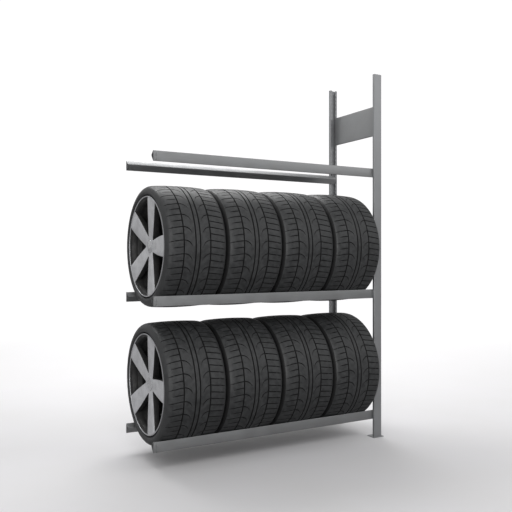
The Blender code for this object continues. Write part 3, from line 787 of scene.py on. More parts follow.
@dataclass
class Beams:
    """Six hollow beams with a ridge towards the wheels, open at both ends, two hooks at each end."""

    height: float = 49 * MM
    depth: float = 28 * MM
    ridge_drop: float = 20 * MM
    edge: float = 4.5 * MM
    sheet: float = 1.5 * MM
    bend: float = 2.6 * MM
    bend_steps: int = 5
    hook_thickness: float = 2.6 * MM
    hook_height: float = 8.5 * MM
    hook_drop: float = 4.5 * MM
    hook_tip: float = 3.0 * MM
    hook_shank: float = 2.3 * MM          # beam's face to the inner side of the hook
    hook_rows: tuple[float, float] = (-0.5, -1.5)   # in slot pitches, from the beam's top edge
    hook_from_end: float = 15.1 * MM
    hook_play: float = 0.3 * MM           # hook's seat over the slot's lower end
    lip_gap: float = 0.5 * MM             # between the beam's face and the lips

    def section(self, face: float, inset: float) -> list[Point2]:
        """Outline of the rear beam, moved inwards by the inset; its top edge is at 0."""
        edge = face - self.edge
        corners = [(face, 0.0), (edge, 0.0), (face - self.depth, -self.ridge_drop),
                   (edge, -self.height), (face, -self.height)]
        if inset > 0.0:
            corners = moved_in(corners, inset)
        return rounded(corners, [self.bend - inset] * len(corners), self.bend_steps)

    def hook(self, shell: Shell, face: float, x: float, slot_centre: float, slot_height: float) -> None:
        """Add one hook that drops behind the post's lip.

        Args:
            shell: the beam's shell.
            face: Y of the beam's flat face.
            x: middle of the hook.
            slot_centre: height of the slot's centre over the beam's top edge.
            slot_height: height of the slot.
        """
        floor = slot_centre - slot_height / 2 + self.hook_play
        root, behind = face - self.sheet / 2, face + self.hook_shank
        top, tip = floor + self.hook_height, floor - self.hook_drop
        corners = [(root, top), (behind + self.hook_tip, top), (behind + self.hook_tip, tip),
                   (behind, tip), (behind, floor), (root, floor)]
        outline = rounded(corners, [0, 1.2 * MM, 0.8 * MM, 0.8 * MM, 0, 0], 3)
        half = self.hook_thickness / 2
        shell.loft([[(x + shift, u, v) for u, v in outline] for shift in (-half, half)], caps=True)

    def build(self, posts: Uprights) -> None:
        """Make all six beams from one mesh for each side.

        Args:
            posts: the uprights, whose slots the hooks fit.
        """
        low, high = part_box("level_1_rear_beam")
        face = Side.REAR.post_faces()[1] - self.lip_gap
        outer, inner = self.section(face, 0.0), self.section(face, self.sheet)
        stations = ((outer, low.x), (outer, high.x), (inner, high.x), (inner, low.x))
        meshes = {}
        for side in Side:
            shell = Shell()
            shell.loft([[(x, u, v) for u, v in outline] for outline, x in stations], ring=True)
            for x in (low.x + self.hook_from_end, high.x - self.hook_from_end):
                for row in self.hook_rows:
                    self.hook(shell, face, x, row * posts.slot_pitch, posts.slot_height)
            mesh = shell.mesh(f"{side.label}_beam", [BEAM_COAT], 28.0)
            side.turn_mesh(mesh)
            meshes[side] = mesh
        for level in LEVELS:
            for side, mesh in meshes.items():
                node = f"level_{level}_{side.label}_beam"
                place = Matrix.Translation((0.0, 0.0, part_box(node)[1].z))
                beam = put(f"{node}_folded", mesh, place)
                fit_to_rack(beam, RACK_BODY, BEAM_COAT, node)


# ---------------------------------------------------------------------------------------------
# Frame panels, foot plates, screws and pins
# ---------------------------------------------------------------------------------------------


@dataclass
class FramePanels:
    """Three folded trays between the posts, their faces towards the beams."""

    sheet: float = 1.5 * MM
    bend: float = 2.6 * MM
    corner: float = 3.0 * MM
    least_corner: float = 0.4 * MM
    steps: int = 5

    def loop(self, box: tuple[Vector, Vector], inset: float, x: float) -> list[Point3]:
        """The tray's edge line, moved inwards by the inset, at one depth."""
        low, high = box
        corners = rectangle(low.y + inset, low.z + inset, high.y - inset, high.z - inset)
        radius = max(self.corner - inset, self.least_corner)
        return [(x, u, v) for u, v in rounded(corners, [radius] * 4, self.steps)]

    def build(self) -> None:
        """Make the three trays with rolled edges."""
        for name in PANELS:
            node = f"{name}_frame_panel"
            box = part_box(node)
            face, back = box[0].x, box[1].x
            loops = []
            for step in range(self.steps + 1):
                turn = math.pi / 2 * step / self.steps
                loops.append(self.loop(box, self.bend * (1 - math.sin(turn)),
                                       face + self.bend * (1 - math.cos(turn))))
            for inset, x in ((0.0, back), (self.sheet, back), (self.sheet, face + self.bend),
                             (self.bend, face + self.sheet)):
                loops.append(self.loop(box, inset, x))
            shell = Shell()
            shell.loft(loops, caps=True)
            tray = shell.piece(f"{name}_folded_tray", [PANEL_COAT], 32.0)
            fit_to_rack(tray, RACK_BODY, PANEL_COAT, node)


@dataclass
class FootPlates:
    """A floor plate under each post, with an anchor hole and a tab that stands inside the post."""

    plate: float = 3.0 * MM
    corner: float = 4.0 * MM
    edge: float = 0.6 * MM
    tab_width: float = 30 * MM
    tab_height: float = 55 * MM
    tab_sheet: float = 2.5 * MM
    tab_corner: float = 6.0 * MM
    tab_from_web: float = 1.8 * MM     # the post's sheet and a little play
    hole: float = 9.0 * MM
    hole_steps: int = 32

    def build(self) -> None:
        """Make both plates; each has softened edges and its anchor hole."""
        for side in Side:
            node = f"{side.label}_foot_plate"
            low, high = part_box(node)
            web, lips = side.post_faces()
            middle = (low.x + high.x) / 2
            shell = Shell()
            corners = rectangle(low.x, low.y, high.x, high.y)
            loops = []
            for inset, z in ((self.edge, 0.0), (0.0, self.edge), (0.0, self.plate - self.edge),
                             (self.edge, self.plate)):
                outline = rounded(moved_in(corners, inset) if inset else corners,
                                  [self.corner - inset] * 4, 6)
                loops.append([(u, v, z) for u, v in outline])
            shell.loft(loops, caps=True)
            self.add_tab(shell, middle, side.value * (web - self.tab_from_web), side)
            foot = shell.piece(f"{side.label}_foot", [FRAME_COAT], 30.0)
            inner_edge = low.y if side is Side.REAR else high.y
            hole_y = (inner_edge + side.value * lips) / 2
            cut_out(foot, self.hole_cutter(middle, hole_y))
            shade(foot.data, 30.0)
            fit_to_rack(foot, RACK_BODY, FRAME_COAT, node)

    def add_tab(self, shell: Shell, x: float, back: float, side: Side) -> None:
        """Add the upright tab, whose top corners are rounded."""
        half = self.tab_width / 2
        corners = rectangle(x - half, self.plate / 2, x + half, self.tab_height)
        outline = rounded(corners, [0, 0, self.tab_corner, self.tab_corner], 5)
        depths = (back, back - side.value * self.tab_sheet)
        shell.loft([[(u, y, v) for u, v in outline] for y in depths], caps=True)

    def hole_cutter(self, x: float, y: float) -> bpy.types.Object:
        """A peg in the shape of the anchor hole at x, y."""
        shell = Shell()
        outline = circle(self.hole / 2, self.hole_steps)
        shell.loft([[(x + u, y + v, z) for u, v in outline] for z in (-self.plate, 2 * self.plate)],
                   caps=True)
        return shell.piece("hole_cutter", [], None)


@dataclass(frozen=True)
class FastenerSize:
    """Diameter and height of a fastener's head, and its shank's diameter."""

    head: float
    rise: float
    shank: float


@dataclass
class Fasteners:
    """Pan-head screws with a hexagon recess, and headed lock pins in the slots over the beams."""

    screw_size: FastenerSize = FastenerSize(7.0 * MM, 2.2 * MM, 3.4 * MM)
    pin_size: FastenerSize = FastenerSize(8.5 * MM, 2.2 * MM, 3.2 * MM)
    steps: int = 24
    recess: float = 2.6 * MM           # across the flats of the hexagon
    recess_depth: float = 1.1 * MM
    tip_chamfer: float = 0.8 * MM
    thread_pitch: float = 1.3 * MM
    pin_edge: float = 0.5 * MM

    def loop(self, radius: float, height: float) -> list[Point3]:
        """A circle about Z."""
        return [(x, y, height) for x, y in circle(radius, self.steps)]

    def hexagon(self, across: float, height: float) -> list[Point3]:
        """A hexagon about Z with as many points as a circle."""
        points = []
        for step in range(self.steps):
            turn = 2 * math.pi * step / self.steps
            reach = across / 2 / math.cos((turn + math.pi / 6) % (math.pi / 3) - math.pi / 6)
            points.append((reach * math.cos(turn), reach * math.sin(turn), height))
        return points

    def screw(self, length: float) -> Shell:
        """A screw about Z whose head lies below 0 and whose shank, of that length, points up."""
        head, rise, shank = self.screw_size.head, self.screw_size.rise, self.screw_size.shank
        loops = [self.hexagon(self.recess, -rise + self.recess_depth), self.hexagon(self.recess, -rise)]
        loops += [self.loop(head * 0.36, -rise), self.loop(head * 0.45, -rise * 0.82),
                  self.loop(head / 2, -rise * 0.45), self.loop(head / 2, 0.0), self.loop(shank / 2, 0.0)]
        turns = int((length - self.tip_chamfer) / self.thread_pitch)
        for turn in range(turns):
            base = turn * self.thread_pitch
            loops += [self.loop(shank / 2, base + 0.15 * self.thread_pitch),
                      self.loop(shank * 0.42, base + 0.55 * self.thread_pitch),
                      self.loop(shank / 2, base + 0.95 * self.thread_pitch)]
        loops.append(self.loop(shank / 2 - self.tip_chamfer * 0.6, length))
        shell = Shell()
        shell.loft(loops, caps=True)
        return shell

    def pin(self, length: float) -> Shell:
        """A lock pin about Z with a softened, dished head, in the same position as a screw."""
        head, rise, shank = self.pin_size.head, self.pin_size.rise, self.pin_size.shank
        soft = self.pin_edge
        loops = [self.loop(head * 0.30, -rise + soft), self.loop(head * 0.36, -rise),
                 self.loop(head / 2 - soft, -rise), self.loop(head / 2, -rise + soft),
                 self.loop(head / 2, -soft), self.loop(head / 2 - soft, 0.0), self.loop(shank / 2, 0.0),
                 self.loop(shank / 2, length * 0.72), self.loop(shank / 2 - soft, length)]
        shell = Shell()
        shell.loft(loops, caps=True)
        return shell

    def place(self, node: str, rise: float) -> tuple[Matrix, float]:
        """Read a fastener's seat, direction and shank length from its CAD node.

        Args:
            node: the CAD node.
            rise: the head's height.

        Returns:
            The place of the seat with Z along the shank, and the shank's length.
        """
        low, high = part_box(node)
        sign = 1.0 if low.y > 0.0 else -1.0
        length = high.y - low.y - rise
        seat = low.y + rise if sign > 0.0 else high.y - rise
        turn = Matrix.Rotation(-sign * math.pi / 2, 4, "X")
        return Matrix.Translation(((low.x + high.x) / 2, seat, (low.z + high.z) / 2)) @ turn, length

    def build(self) -> None:
        """Make every screw and every lock pin where its CAD node is."""
        nodes = [f"{side.label}_foot_screw" for side in Side]
        nodes += [f"{panel}_panel_{side.label}_{row}_screw" for panel in PANELS
                  for side in Side for row in ("top", "bottom")]
        for node in nodes:
            place, length = self.place(node, self.screw_size.rise)
            name = node.replace("_screw", "_pan_head_screw")
            screw = self.screw(length).piece(name, [SCREW_ZINC], 28.0, place)
            fit_to_rack(screw, RACK_BODY, SCREW_ZINC, node)
        for node in (f"level_{level}_{side.label}_lock_pin" for level in LEVELS for side in Side):
            place, length = self.place(node, self.pin_size.rise)
            pin = self.pin(length).piece(f"{node}_moulded", [PIN_NYLON], 28.0, place)
            fit_to_rack(pin, RACK_BODY, PIN_NYLON, node)


# ---------------------------------------------------------------------------------------------
# Tyres
# ---------------------------------------------------------------------------------------------


# The sidewall from the bead to the tread's edge: millimetres in from the side, and below the radius.
SIDEWALL_LINE = (
    (15.5, 53.6), (13.8, 50.4), (10.2, 48.2), (5.8, 46.6), (2.2, 43.4), (0.5, 38.6), (0.0, 34.5),
    (0.5, 30.8), (1.9, 26.0), (4.1, 21.0), (7.2, 16.2), (11.0, 12.2), (15.8, 8.9), (21.5, 6.5),
    (28.0, 5.1),
)


class Zone(Enum):
    """Zones across the tread, from the outer shoulder to the inner one."""

    OUTER_SHOULDER = "outer_shoulder"
    HOOK_RIB = "hook_rib"
    CENTRE_RIB = "centre_rib"
    SHORT_HOOK_RIB = "short_hook_rib"
    INNER_SHOULDER = "inner_shoulder"


@dataclass
class TreadPattern:
    """Where the tread is cut: four grooves around it, and lateral grooves that hook into the ribs.

    Distances run across the tread from the wheel's outer face (-X) to its inner one (+X).  The
    lateral grooves come at an even pitch, and every second one goes on as a hook inside the ribs.
    """

    pitches: int = 60
    phase: float = 6.9                   # degrees from the rim's first spoke to a long groove
    ring_grooves: tuple[float, ...] = (-71.5 * MM, -13.5 * MM, 8.5 * MM, 60.5 * MM)
    ring_width: float = 6.4 * MM
    ring_floor: float = 4.0 * MM
    ring_depth: float = 7.5 * MM
    lateral_width: float = 4.8 * MM
    lateral_floor: float = 3.2 * MM
    lateral_depth: float = 6.5 * MM
    hook_width: float = 5.2 * MM
    outer_reach: float = -147 * MM       # where the long outer grooves have faded out
    short_reach: float = -128 * MM       # where the ones between them have
    inner_reach: float = 141 * MM
    hook_end: float = -29 * MM
    short_hook_end: float = 23 * MM
    hook_fall: float = 40 * MM
    hook_steepness: float = 0.985        # how near a hook's end comes to running along the tread
    outer_slope: float = 0.085
    outer_curve: float = 0.9
    inner_slope: float = 0.115
    inner_curve: float = 0.3
    least_width: float = 0.35            # width of a groove where it has faded out, as a share
    short_hook_depth: float = 0.8        # depth of the short hooks, as a share

    def zone(self, x: float) -> Zone:
        """The zone that a place across the tread lies in."""
        return list(Zone)[sum(x > groove for groove in self.ring_grooves)]

    def fall(self, x: float) -> float:
        """How far a lateral groove's line has fallen behind its start, along the tread.

        Args:
            x: place across the tread.

        Returns:
            The fall in metres; the grid's lines follow it, so that groove edges stay crisp.
        """
        first, last = self.ring_grooves[0], self.ring_grooves[-1]
        if x <= first:
            reach = first - x
            return self.outer_slope * reach + self.outer_curve * reach * reach
        if x >= last:
            reach = x - last
            return self.inner_slope * reach + self.inner_curve * reach * reach
        if x < self.hook_end:
            return self.arc((x - first) / (self.hook_end - first))
        if x > self.short_hook_end:
            return self.arc((last - x) / (last - self.short_hook_end))
        return self.arc(1.0)

    def arc(self, share: float) -> float:
        """Fall of a hook at a share of its reach: level at first, steep at its end."""
        return self.hook_fall * (1 - math.sqrt(1 - (share * self.hook_steepness) ** 2))

    def depth(self, x: float, pitch: int) -> float:
        """Depth of one lateral groove at a place across the tread.

        Args:
            x: place across the tread.
            pitch: number of the groove around the tyre.

        Returns:
            The depth in metres, 0 where there is no groove.
        """
        long_one = pitch % 2 == 0
        where = self.zone(x)
        if where is Zone.OUTER_SHOULDER:
            reach = self.outer_reach if long_one else self.short_reach
            return self.lateral_depth * fade(x, reach, reach + 26 * MM)
        if where is Zone.INNER_SHOULDER:
            return self.lateral_depth * fade(-x, -self.inner_reach, -self.inner_reach + 14 * MM)
        if not long_one or where is Zone.CENTRE_RIB:
            return 0.0
        if where is Zone.HOOK_RIB:
            return self.lateral_depth * fade(-x, -self.hook_end, -self.hook_end + 3 * MM)
        share = fade(x, self.short_hook_end, self.short_hook_end + 4 * MM)
        return self.short_hook_depth * self.lateral_depth * share

    def width(self, x: float, pitch: int) -> float:
        """Width of one lateral groove; it narrows as it fades out."""
        inner = self.zone(x) in (Zone.HOOK_RIB, Zone.SHORT_HOOK_RIB)
        full = self.hook_width if inner else self.lateral_width
        share = min(self.depth(x, pitch) / self.lateral_depth, 1.0)
        return full * (self.least_width + (1 - self.least_width) * share)

    def ring_depth_at(self, x: float) -> float:
        """Depth of the grooves that run around the tyre."""
        deepest = 0.0
        for groove in self.ring_grooves:
            off = abs(x - groove)
            share = (self.ring_width / 2 - off) / (self.ring_width / 2 - self.ring_floor / 2)
            deepest = max(deepest, min(max(share, 0.0), 1.0) * self.ring_depth)
        return deepest


def fade(x: float, empty: float, full: float) -> float:
    """Rise smoothly from 0 at empty to 1 at full."""
    share = min(max((x - empty) / (full - empty), 0.0), 1.0)
    return share * share * (3 - 2 * share)


@dataclass
class Tyres:
    """Low-profile tyres: a cut tread over a rounded shoulder, and a smooth sidewall."""

    tread: TreadPattern = field(default_factory=TreadPattern)
    columns_between: int = 3      # grid lines on a tread block, besides its edges
    row_step: float = 8.5 * MM
    fine_row_step: float = 3.4 * MM
    crown_drop: float = 4.0 * MM  # how far the tread's edge lies inside its middle
    crown_from_side: float = 36 * MM
    cuts_from_side: float = 12 * MM           # where the lateral grooves end at the latest
    tread_skin_from_side: float = 17 * MM     # where the tread's finish gives way to the sidewall's
    shaded_ring_depth: float = 0.5 * MM       # ring grooves deeper than this get painted shade, the near-black groove finish
    shaded_lateral_depth: float = 0.6 * MM
    covered_drop: tuple[float, float] = (11 * MM, 21 * MM)    # drop below the tread where painted shade from the next wheel starts, on each side
    wall: float = 10 * MM

    def across(self, half: float) -> list[float]:
        """Places of the grid's rows over the tread, dense at groove edges and along the hooks."""
        start = -half + self.crown_from_side
        places = {start, -start}
        for groove in self.tread.ring_grooves:
            for edge in (self.tread.ring_width, self.tread.ring_floor):
                places |= {groove - edge / 2, groove + edge / 2}
        ordered = sorted(places)
        fine = []
        for left, right in zip(ordered, ordered[1:]):
            fine.append(left)
            zone = self.tread.zone((left + right) / 2)
            hooked = zone in (Zone.HOOK_RIB, Zone.SHORT_HOOK_RIB)
            step = self.fine_row_step if hooked else self.row_step
            inside = self.tread.ring_depth_at((left + right) / 2) > 0.0
            count = 1 if inside else max(1, round((right - left) / step))
            fine += [left + (right - left) * part / count for part in range(1, count)]
        fine.append(ordered[-1])
        return fine

    def rows(self, radius: float, half: float) -> list[tuple[float, float, Vector]]:
        """All rows of the grid from bead to bead.

        Args:
            radius: the tyre's radius.
            half: half of its width.

        Returns:
            For each row its place across, its radius and the outward direction (across, radius).
        """
        crown_half = half - self.crown_from_side
        crown = [(x, radius - self.crown_drop * (x / crown_half) ** 2) for x in self.across(half)]
        outer = [(-half + inwards * MM, radius - below * MM) for inwards, below in SIDEWALL_LINE]
        line = outer + crown + [(-x, r) for x, r in reversed(outer)]
        rows = []
        for index, (x, r) in enumerate(line):
            before = line[max(index - 1, 0)]
            after = line[min(index + 1, len(line) - 1)]
            along = Vector((after[0] - before[0], after[1] - before[1])).normalized()
            rows.append((x, r, Vector((-along.y, along.x))))
        return rows

    def columns(self, x: float, radius: float) -> list[tuple[float, float]]:
        """One row's grid lines around the tyre.

        Args:
            x: the row's place across the tread.
            radius: the row's radius.

        Returns:
            For each line its angle and the depth of the lateral groove there.
        """
        tread = self.tread
        pitch_angle = 2 * math.pi / tread.pitches
        lag = tread.fall(x) / radius
        lines = []
        for pitch in range(tread.pitches):
            depth = tread.depth(x, pitch)
            half_top = tread.width(x, pitch) / 2 / radius
            half_floor = half_top * tread.lateral_floor / tread.lateral_width
            centre = pitch * pitch_angle + math.radians(tread.phase) + lag
            lines += [(centre - half_top, 0.0), (centre - half_floor, depth),
                      (centre + half_floor, depth), (centre + half_top, 0.0)]
            room = pitch_angle - half_top * 2
            for part in range(1, self.columns_between + 1):
                lines.append((centre + half_top + room * part / (self.columns_between + 1), 0.0))
        return lines

    def mesh(self, radius: float, half: float, bead: float,
             covered: tuple[bool, bool]) -> bpy.types.Mesh:
        """The tyre about its own middle, its axis along X.

        Args:
            radius: the tyre's radius.
            half: half of its width.
            bead: radius of the seat that the bead lies on.
            covered: whether another wheel stands against its -X and its +X side; such a side gets painted
                shade.

        Returns:
            The mesh, with all the tyre finishes.
        """
        cuts_end = half - self.cuts_from_side
        loops, skins = [], []
        grid = self.rows(radius, half)
        for x, r, out in grid:
            ring = self.tread.ring_depth_at(x)
            loop = []
            for angle, cut in self.columns(x, radius):
                depth = max(ring, cut if abs(x) < cuts_end else 0.0)
                spot_x, spot_r = x - out.x * depth, r - out.y * depth
                loop.append((spot_x, -spot_r * math.cos(angle), -spot_r * math.sin(angle)))
            loops.append(loop)
        for (x, r, _), (after, after_r, _) in zip(grid, grid[1:]):
            middle, drop = (x + after) / 2, radius - (r + after_r) / 2
            side = int(middle > 0.0)
            # painted shade: a sidewall beside another wheel gets near-black rubber below the drop
            if covered[side] and drop > self.covered_drop[side]:
                skins.append(TyreSkin.COVERED)
            # painted shade: deep ring grooves get the near-black groove finish
            elif self.tread.ring_depth_at(middle) > self.shaded_ring_depth:
                skins.append(TyreSkin.GROOVE)
            elif abs(middle) < half - self.tread_skin_from_side:
                skins.append(TyreSkin.TREAD)
            else:
                skins.append(TyreSkin.SIDEWALL)
        inner_side = half - 15.4 * MM
        liner = [(inner_side, bead), (inner_side - 17 * MM, bead), (half - 14 * MM, radius - 38 * MM),
                 (half - 34 * MM, radius - self.wall)]
        inside = liner + [(-x, r) for x, r in reversed(liner)]
        angles = [angle for angle, _ in self.columns(grid[0][0], radius)]
        for x, r in inside:
            loops.append([(x, -r * math.cos(angle), -r * math.sin(angle)) for angle in angles])
        skins += [TyreSkin.SIDEWALL] * (len(inside) + 1)
        shell = Shell()
        shell.loft(loops, ring=True, skin=skins)
        # painted shade in the deep lateral grooves
        self.darken_lateral_grooves(shell, [x for x, _, _ in grid])
        return shell.mesh("cut_tread_tyre", TYRE_FINISHES, 24.0)

    def darken_lateral_grooves(self, shell: Shell, places: Sequence[float]) -> None:
        """Paint shade on the walls and floors of the lateral grooves: they get the near-black groove
        finish.

        Args:
            shell: the tyre's shell, which starts with the rows over the tread and the sidewalls.
            places: the rows' places across the tread.
        """
        per_pitch = 4 + self.columns_between
        count = per_pitch * self.tread.pitches
        for band, (here, after) in enumerate(zip(places, places[1:])):
            middle = (here + after) / 2
            if abs(middle) > -self.tread.outer_reach:
                continue
            for pitch in range(self.tread.pitches):
                if self.tread.depth(middle, pitch) < self.shaded_lateral_depth:
                    continue
                first = band * count + pitch * per_pitch
                shell.skins[first:first + 3] = [TyreSkin.GROOVE] * 3


# ---------------------------------------------------------------------------------------------
# Rims
# ---------------------------------------------------------------------------------------------


# The centre cap from its plug's back to the middle of its face: radius, and millimetres behind the
# face's plane.
CAP_LINE = (
    (0.4, 16.0), (28.0, 16.0), (29.2, 15.0), (29.2, 0.0), (33.0, -0.3), (33.0, -1.6), (32.2, -2.6),
    (30.8, -3.0), (29.4, -2.6), (28.6, -1.8), (27.4, -1.9), (22.0, -3.4), (15.0, -4.6), (8.0, -5.3),
    (0.4, -5.5),
)
# The valve from its foot to its cap: radius and height in millimetres.
VALVE_LINE = (
    (0.3, 0.0), (6.5, 0.0), (7.0, 1.5), (4.6, 4.0), (4.0, 14.0), (3.4, 18.0), (3.4, 20.0),
    (4.1, 20.5), (4.1, 29.0), (3.2, 30.5), (0.3, 30.8),
)


@dataclass
class Rims:
    """Five-spoke alloy rims: dark barrel, turned lip, flat dished spokes, cap and valve."""

    spokes: int = 5
    steps: int = 120
    hole_steps: int = 64
    cap_steps: int = 64
    valve_steps: int = 20
    flange: float = 7.0 * MM
    flange_height: float = 15.9 * MM
    barrel: float = 8.0 * MM
    lip: float = 5.5 * MM              # width of the turned ring that shows from the front
    dish: float = 25 * MM
    plate: float = 20 * MM             # thickness of the spokes
    spoke_edge: float = 1.1 * MM
    spoke_outer: float = 99 * MM
    root_radius: float = 46 * MM       # where two neighbouring spokes part
    root_fillet: float = 4.5 * MM
    swell: float = 1.6                 # above 1, a spoke widens faster near its root
    face_drop: float = 1.6 * MM        # spokes' outer ends behind the lip's plane
    back_lean: float = 0.75            # extra thickness at the hub, as a share of the dish
    painted_depth: float = 6 * MM      # where the spokes' sides go over into dark paint
    side_tilt: float = 0.35            # a face whose normal leans less towards X is a side
    bore: float = 30 * MM
    valve_lean: float = -52.0          # degrees from the axis
    valve_from_side: float = 36 * MM

    def barrel_mesh(self, lip_radius: float, half: float) -> bpy.types.Mesh:
        """Barrel, flanges and lip, turned about X.

        Args:
            lip_radius: outer radius of the flanges.
            half: half of the rim's width.

        Returns:
            The mesh, with a turned lip and dark paint inside.
        """
        seat = lip_radius - self.flange_height
        inside = seat - self.barrel
        lip_inner = lip_radius - self.lip
        soft = 1.2 * MM
        line = [
            (lip_radius - soft, -half, 0), (lip_radius, -half + soft, 0),
            (lip_radius, -half + 3.2 * MM, 1), (lip_radius - 4 * MM, -half + 5.6 * MM, 1),
            (seat, -half + self.flange, 1), (seat, -half + 40 * MM, 1),
            (seat - 14 * MM, -half + 62 * MM, 1), (seat - 14 * MM, -half + 92 * MM, 1),
            (seat, -half + 112 * MM, 1), (seat, half - self.flange, 1),
            (lip_radius - 4 * MM, half - 5.6 * MM, 1), (lip_radius, half - 3.2 * MM, 1),
            (lip_radius, half - soft, 1), (lip_radius - soft, half, 1),
            (lip_radius - 4.5 * MM, half - 0.6 * MM, 1), (inside + 4 * MM, half - 5 * MM, 1),
            (inside, half - 16 * MM, 1), (inside, -half + 116 * MM, 1),
            (inside - 13 * MM, -half + 96 * MM, 1),
            (inside - 13 * MM, -half + 58 * MM, 1), (inside, -half + 38 * MM, 1),
            (inside, -half + 24 * MM, 1), (inside + 6 * MM, -half + 10 * MM, 1),
            (lip_inner - 2.6 * MM, -half + 5.0 * MM, 1), (lip_inner, -half + 2.2 * MM, 0),
            (lip_inner + 0.5 * MM, -half + 0.4 * MM, 0), (lip_inner + 1.4 * MM, -half, 0),
        ]
        shell = Shell()
        shell.loft([ring_about_x(r, x, self.steps) for r, x, _ in line], ring=True,
                   skin=[skin for _, _, skin in line])
        return shell.mesh("turned_barrel", [LIP_ALLOY, RIM_PAINT], 30.0)

    def star(self, outer: float) -> list[Point2]:
        """Outline of the five spokes, seen along the axis; one spoke points to -Y.

        Args:
            outer: radius where the spokes run into the lip.

        Returns:
            The closed outline as (Y, Z).
        """
        sector = 2 * math.pi / self.spokes
        root_across = self.root_radius * math.sin(sector / 2)
        root_along = self.root_radius * math.cos(sector / 2)
        end_across = self.spoke_outer / 2
        end_along = math.sqrt(outer ** 2 - end_across ** 2)
        side_steps, arc_steps = 12, 10
        edge = []
        for step in range(side_steps + 1):
            share = step / side_steps
            across = end_across - (end_across - root_across) * (1 - share) ** self.swell
            edge.append((root_along + (end_along - root_along) * share, across))
        end_turn = math.asin(end_across / outer)
        turns = [end_turn * (1 - 2 * step / arc_steps) for step in range(1, arc_steps)]
        arc = [(outer * math.cos(turn), outer * math.sin(turn)) for turn in turns]
        path = [(along, -across) for along, across in edge + arc]
        path += [(along, across) for along, across in edge[:0:-1]]
        corners: list[Point2] = []
        for spoke in range(self.spokes):
            heading = math.pi + spoke * sector
            corners += [(along * math.cos(heading) - across * math.sin(heading),
                         along * math.sin(heading) + across * math.cos(heading)) for along, across in path]
        radii = [self.root_fillet] + [0.0] * (len(path) - 1)
        return rounded(corners, radii * self.spokes, 6)

    def spokes_mesh(self, lip_radius: float, half: float) -> bpy.types.Mesh:
        """The cast spokes with softened edges, dished towards the hub.

        Args:
            lip_radius: outer radius of the flanges.
            half: half of the rim's width.

        Returns:
            The mesh about the wheel's middle.
        """
        outer = lip_radius - self.lip + 0.6 * MM
        curve = bpy.data.curves.new("spokes", "CURVE")
        curve.dimensions = "2D"
        curve.fill_mode = "BOTH"
        curve.extrude = self.plate / 2 - self.spoke_edge
        curve.bevel_depth = self.spoke_edge
        curve.bevel_resolution = 2
        curve.offset = -self.spoke_edge
        for outline in (self.star(outer), circle(self.bore, self.hole_steps)):
            spline = curve.splines.new("POLY")
            spline.points.add(len(outline) - 1)
            for point, (u, v) in zip(spline.points, outline):
                point.co = (u, v, 0.0, 1.0)
            spline.use_cyclic_u = True
        drawn = put("spokes_outline", curve)
        mesh = evaluated_mesh(drawn)
        bpy.data.objects.remove(drawn, do_unlink=True)
        self.dish_spokes(mesh, outer, half)
        mesh.materials.clear()
        mesh.materials.append(SPOKE_LACQUER.make())
        mesh.materials.append(RIM_PAINT.make())
        for face in mesh.polygons:
            behind = face.normal.x > self.side_tilt
            sideways = abs(face.normal.x) < self.side_tilt
            deep = face.center.x > -half + self.painted_depth
            face.material_index = int(behind or (sideways and deep))
        shade(mesh, 24.0)
        return mesh

    def dish_spokes(self, mesh: bpy.types.Mesh, outer: float, half: float) -> None:
        """Lay every spoke on its own plane that leans in towards the hub, and turn the axis to X."""
        work = bmesh.new()
        work.from_mesh(mesh)
        bmesh.ops.remove_doubles(work, verts=work.verts, dist=0.002 * MM)
        sector = 2 * math.pi / self.spokes
        for spoke in range(self.spokes):
            border = math.pi + (spoke + 0.5) * sector
            bmesh.ops.bisect_plane(work, geom=work.verts[:] + work.edges[:] + work.faces[:],
                                   dist=1e-6, plane_co=(0, 0, 0),
                                   plane_no=(-math.sin(border), math.cos(border), 0.0))
        for vert in work.verts:
            y, z, level = vert.co
            turn = (math.atan2(z, y) - math.pi + sector / 2) % sector - sector / 2
            along = math.hypot(y, z) * math.cos(turn)
            sunk = self.dish * (1 - along / outer)
            thicker = self.back_lean * self.dish * (1 - along / outer)
            face = -half + self.face_drop + sunk
            if level > 0.0:
                x = face + (self.plate / 2 - level)
            else:
                x = face + self.plate + thicker - (level + self.plate / 2)
            vert.co = (x, y, z)
        bmesh.ops.recalc_face_normals(work, faces=work.faces)
        work.to_mesh(mesh)
        work.free()

    def cap_mesh(self, half: float) -> bpy.types.Mesh:
        """The centre cap: a shallow dome in a raised ring, over a plug."""
        face = -half + self.dish - 1.5 * MM
        shell = Shell()
        shell.loft([ring_about_x(r * MM, face + behind * MM, self.cap_steps) for r, behind in CAP_LINE],
                   caps=True)
        return shell.mesh("domed_centre_cap", [CAP_ALLOY], 30.0)

    def valve_mesh(self, lip_radius: float, half: float) -> bpy.types.Mesh:
        """A rubber snap-in valve with its cap, standing out of the barrel between two spokes."""
        shell = Shell()
        shell.loft([ring_about_x(r * MM, x * MM, self.valve_steps) for r, x in VALVE_LINE], caps=True)
        mesh = shell.mesh("snap_in_valve", [VALVE_RUBBER], 30.0)
        reach = lip_radius - self.flange_height - self.barrel - 1.0 * MM
        lean = Matrix.Rotation(math.pi, 4, "Z") @ Matrix.Rotation(math.radians(self.valve_lean), 4, "Z")
        between_spokes = Matrix.Rotation(math.pi / self.spokes, 4, "X")
        in_barrel = Matrix.Translation((-half + self.valve_from_side, -reach, 0.0))
        mesh.transform(between_spokes @ in_barrel @ lean)
        return mesh


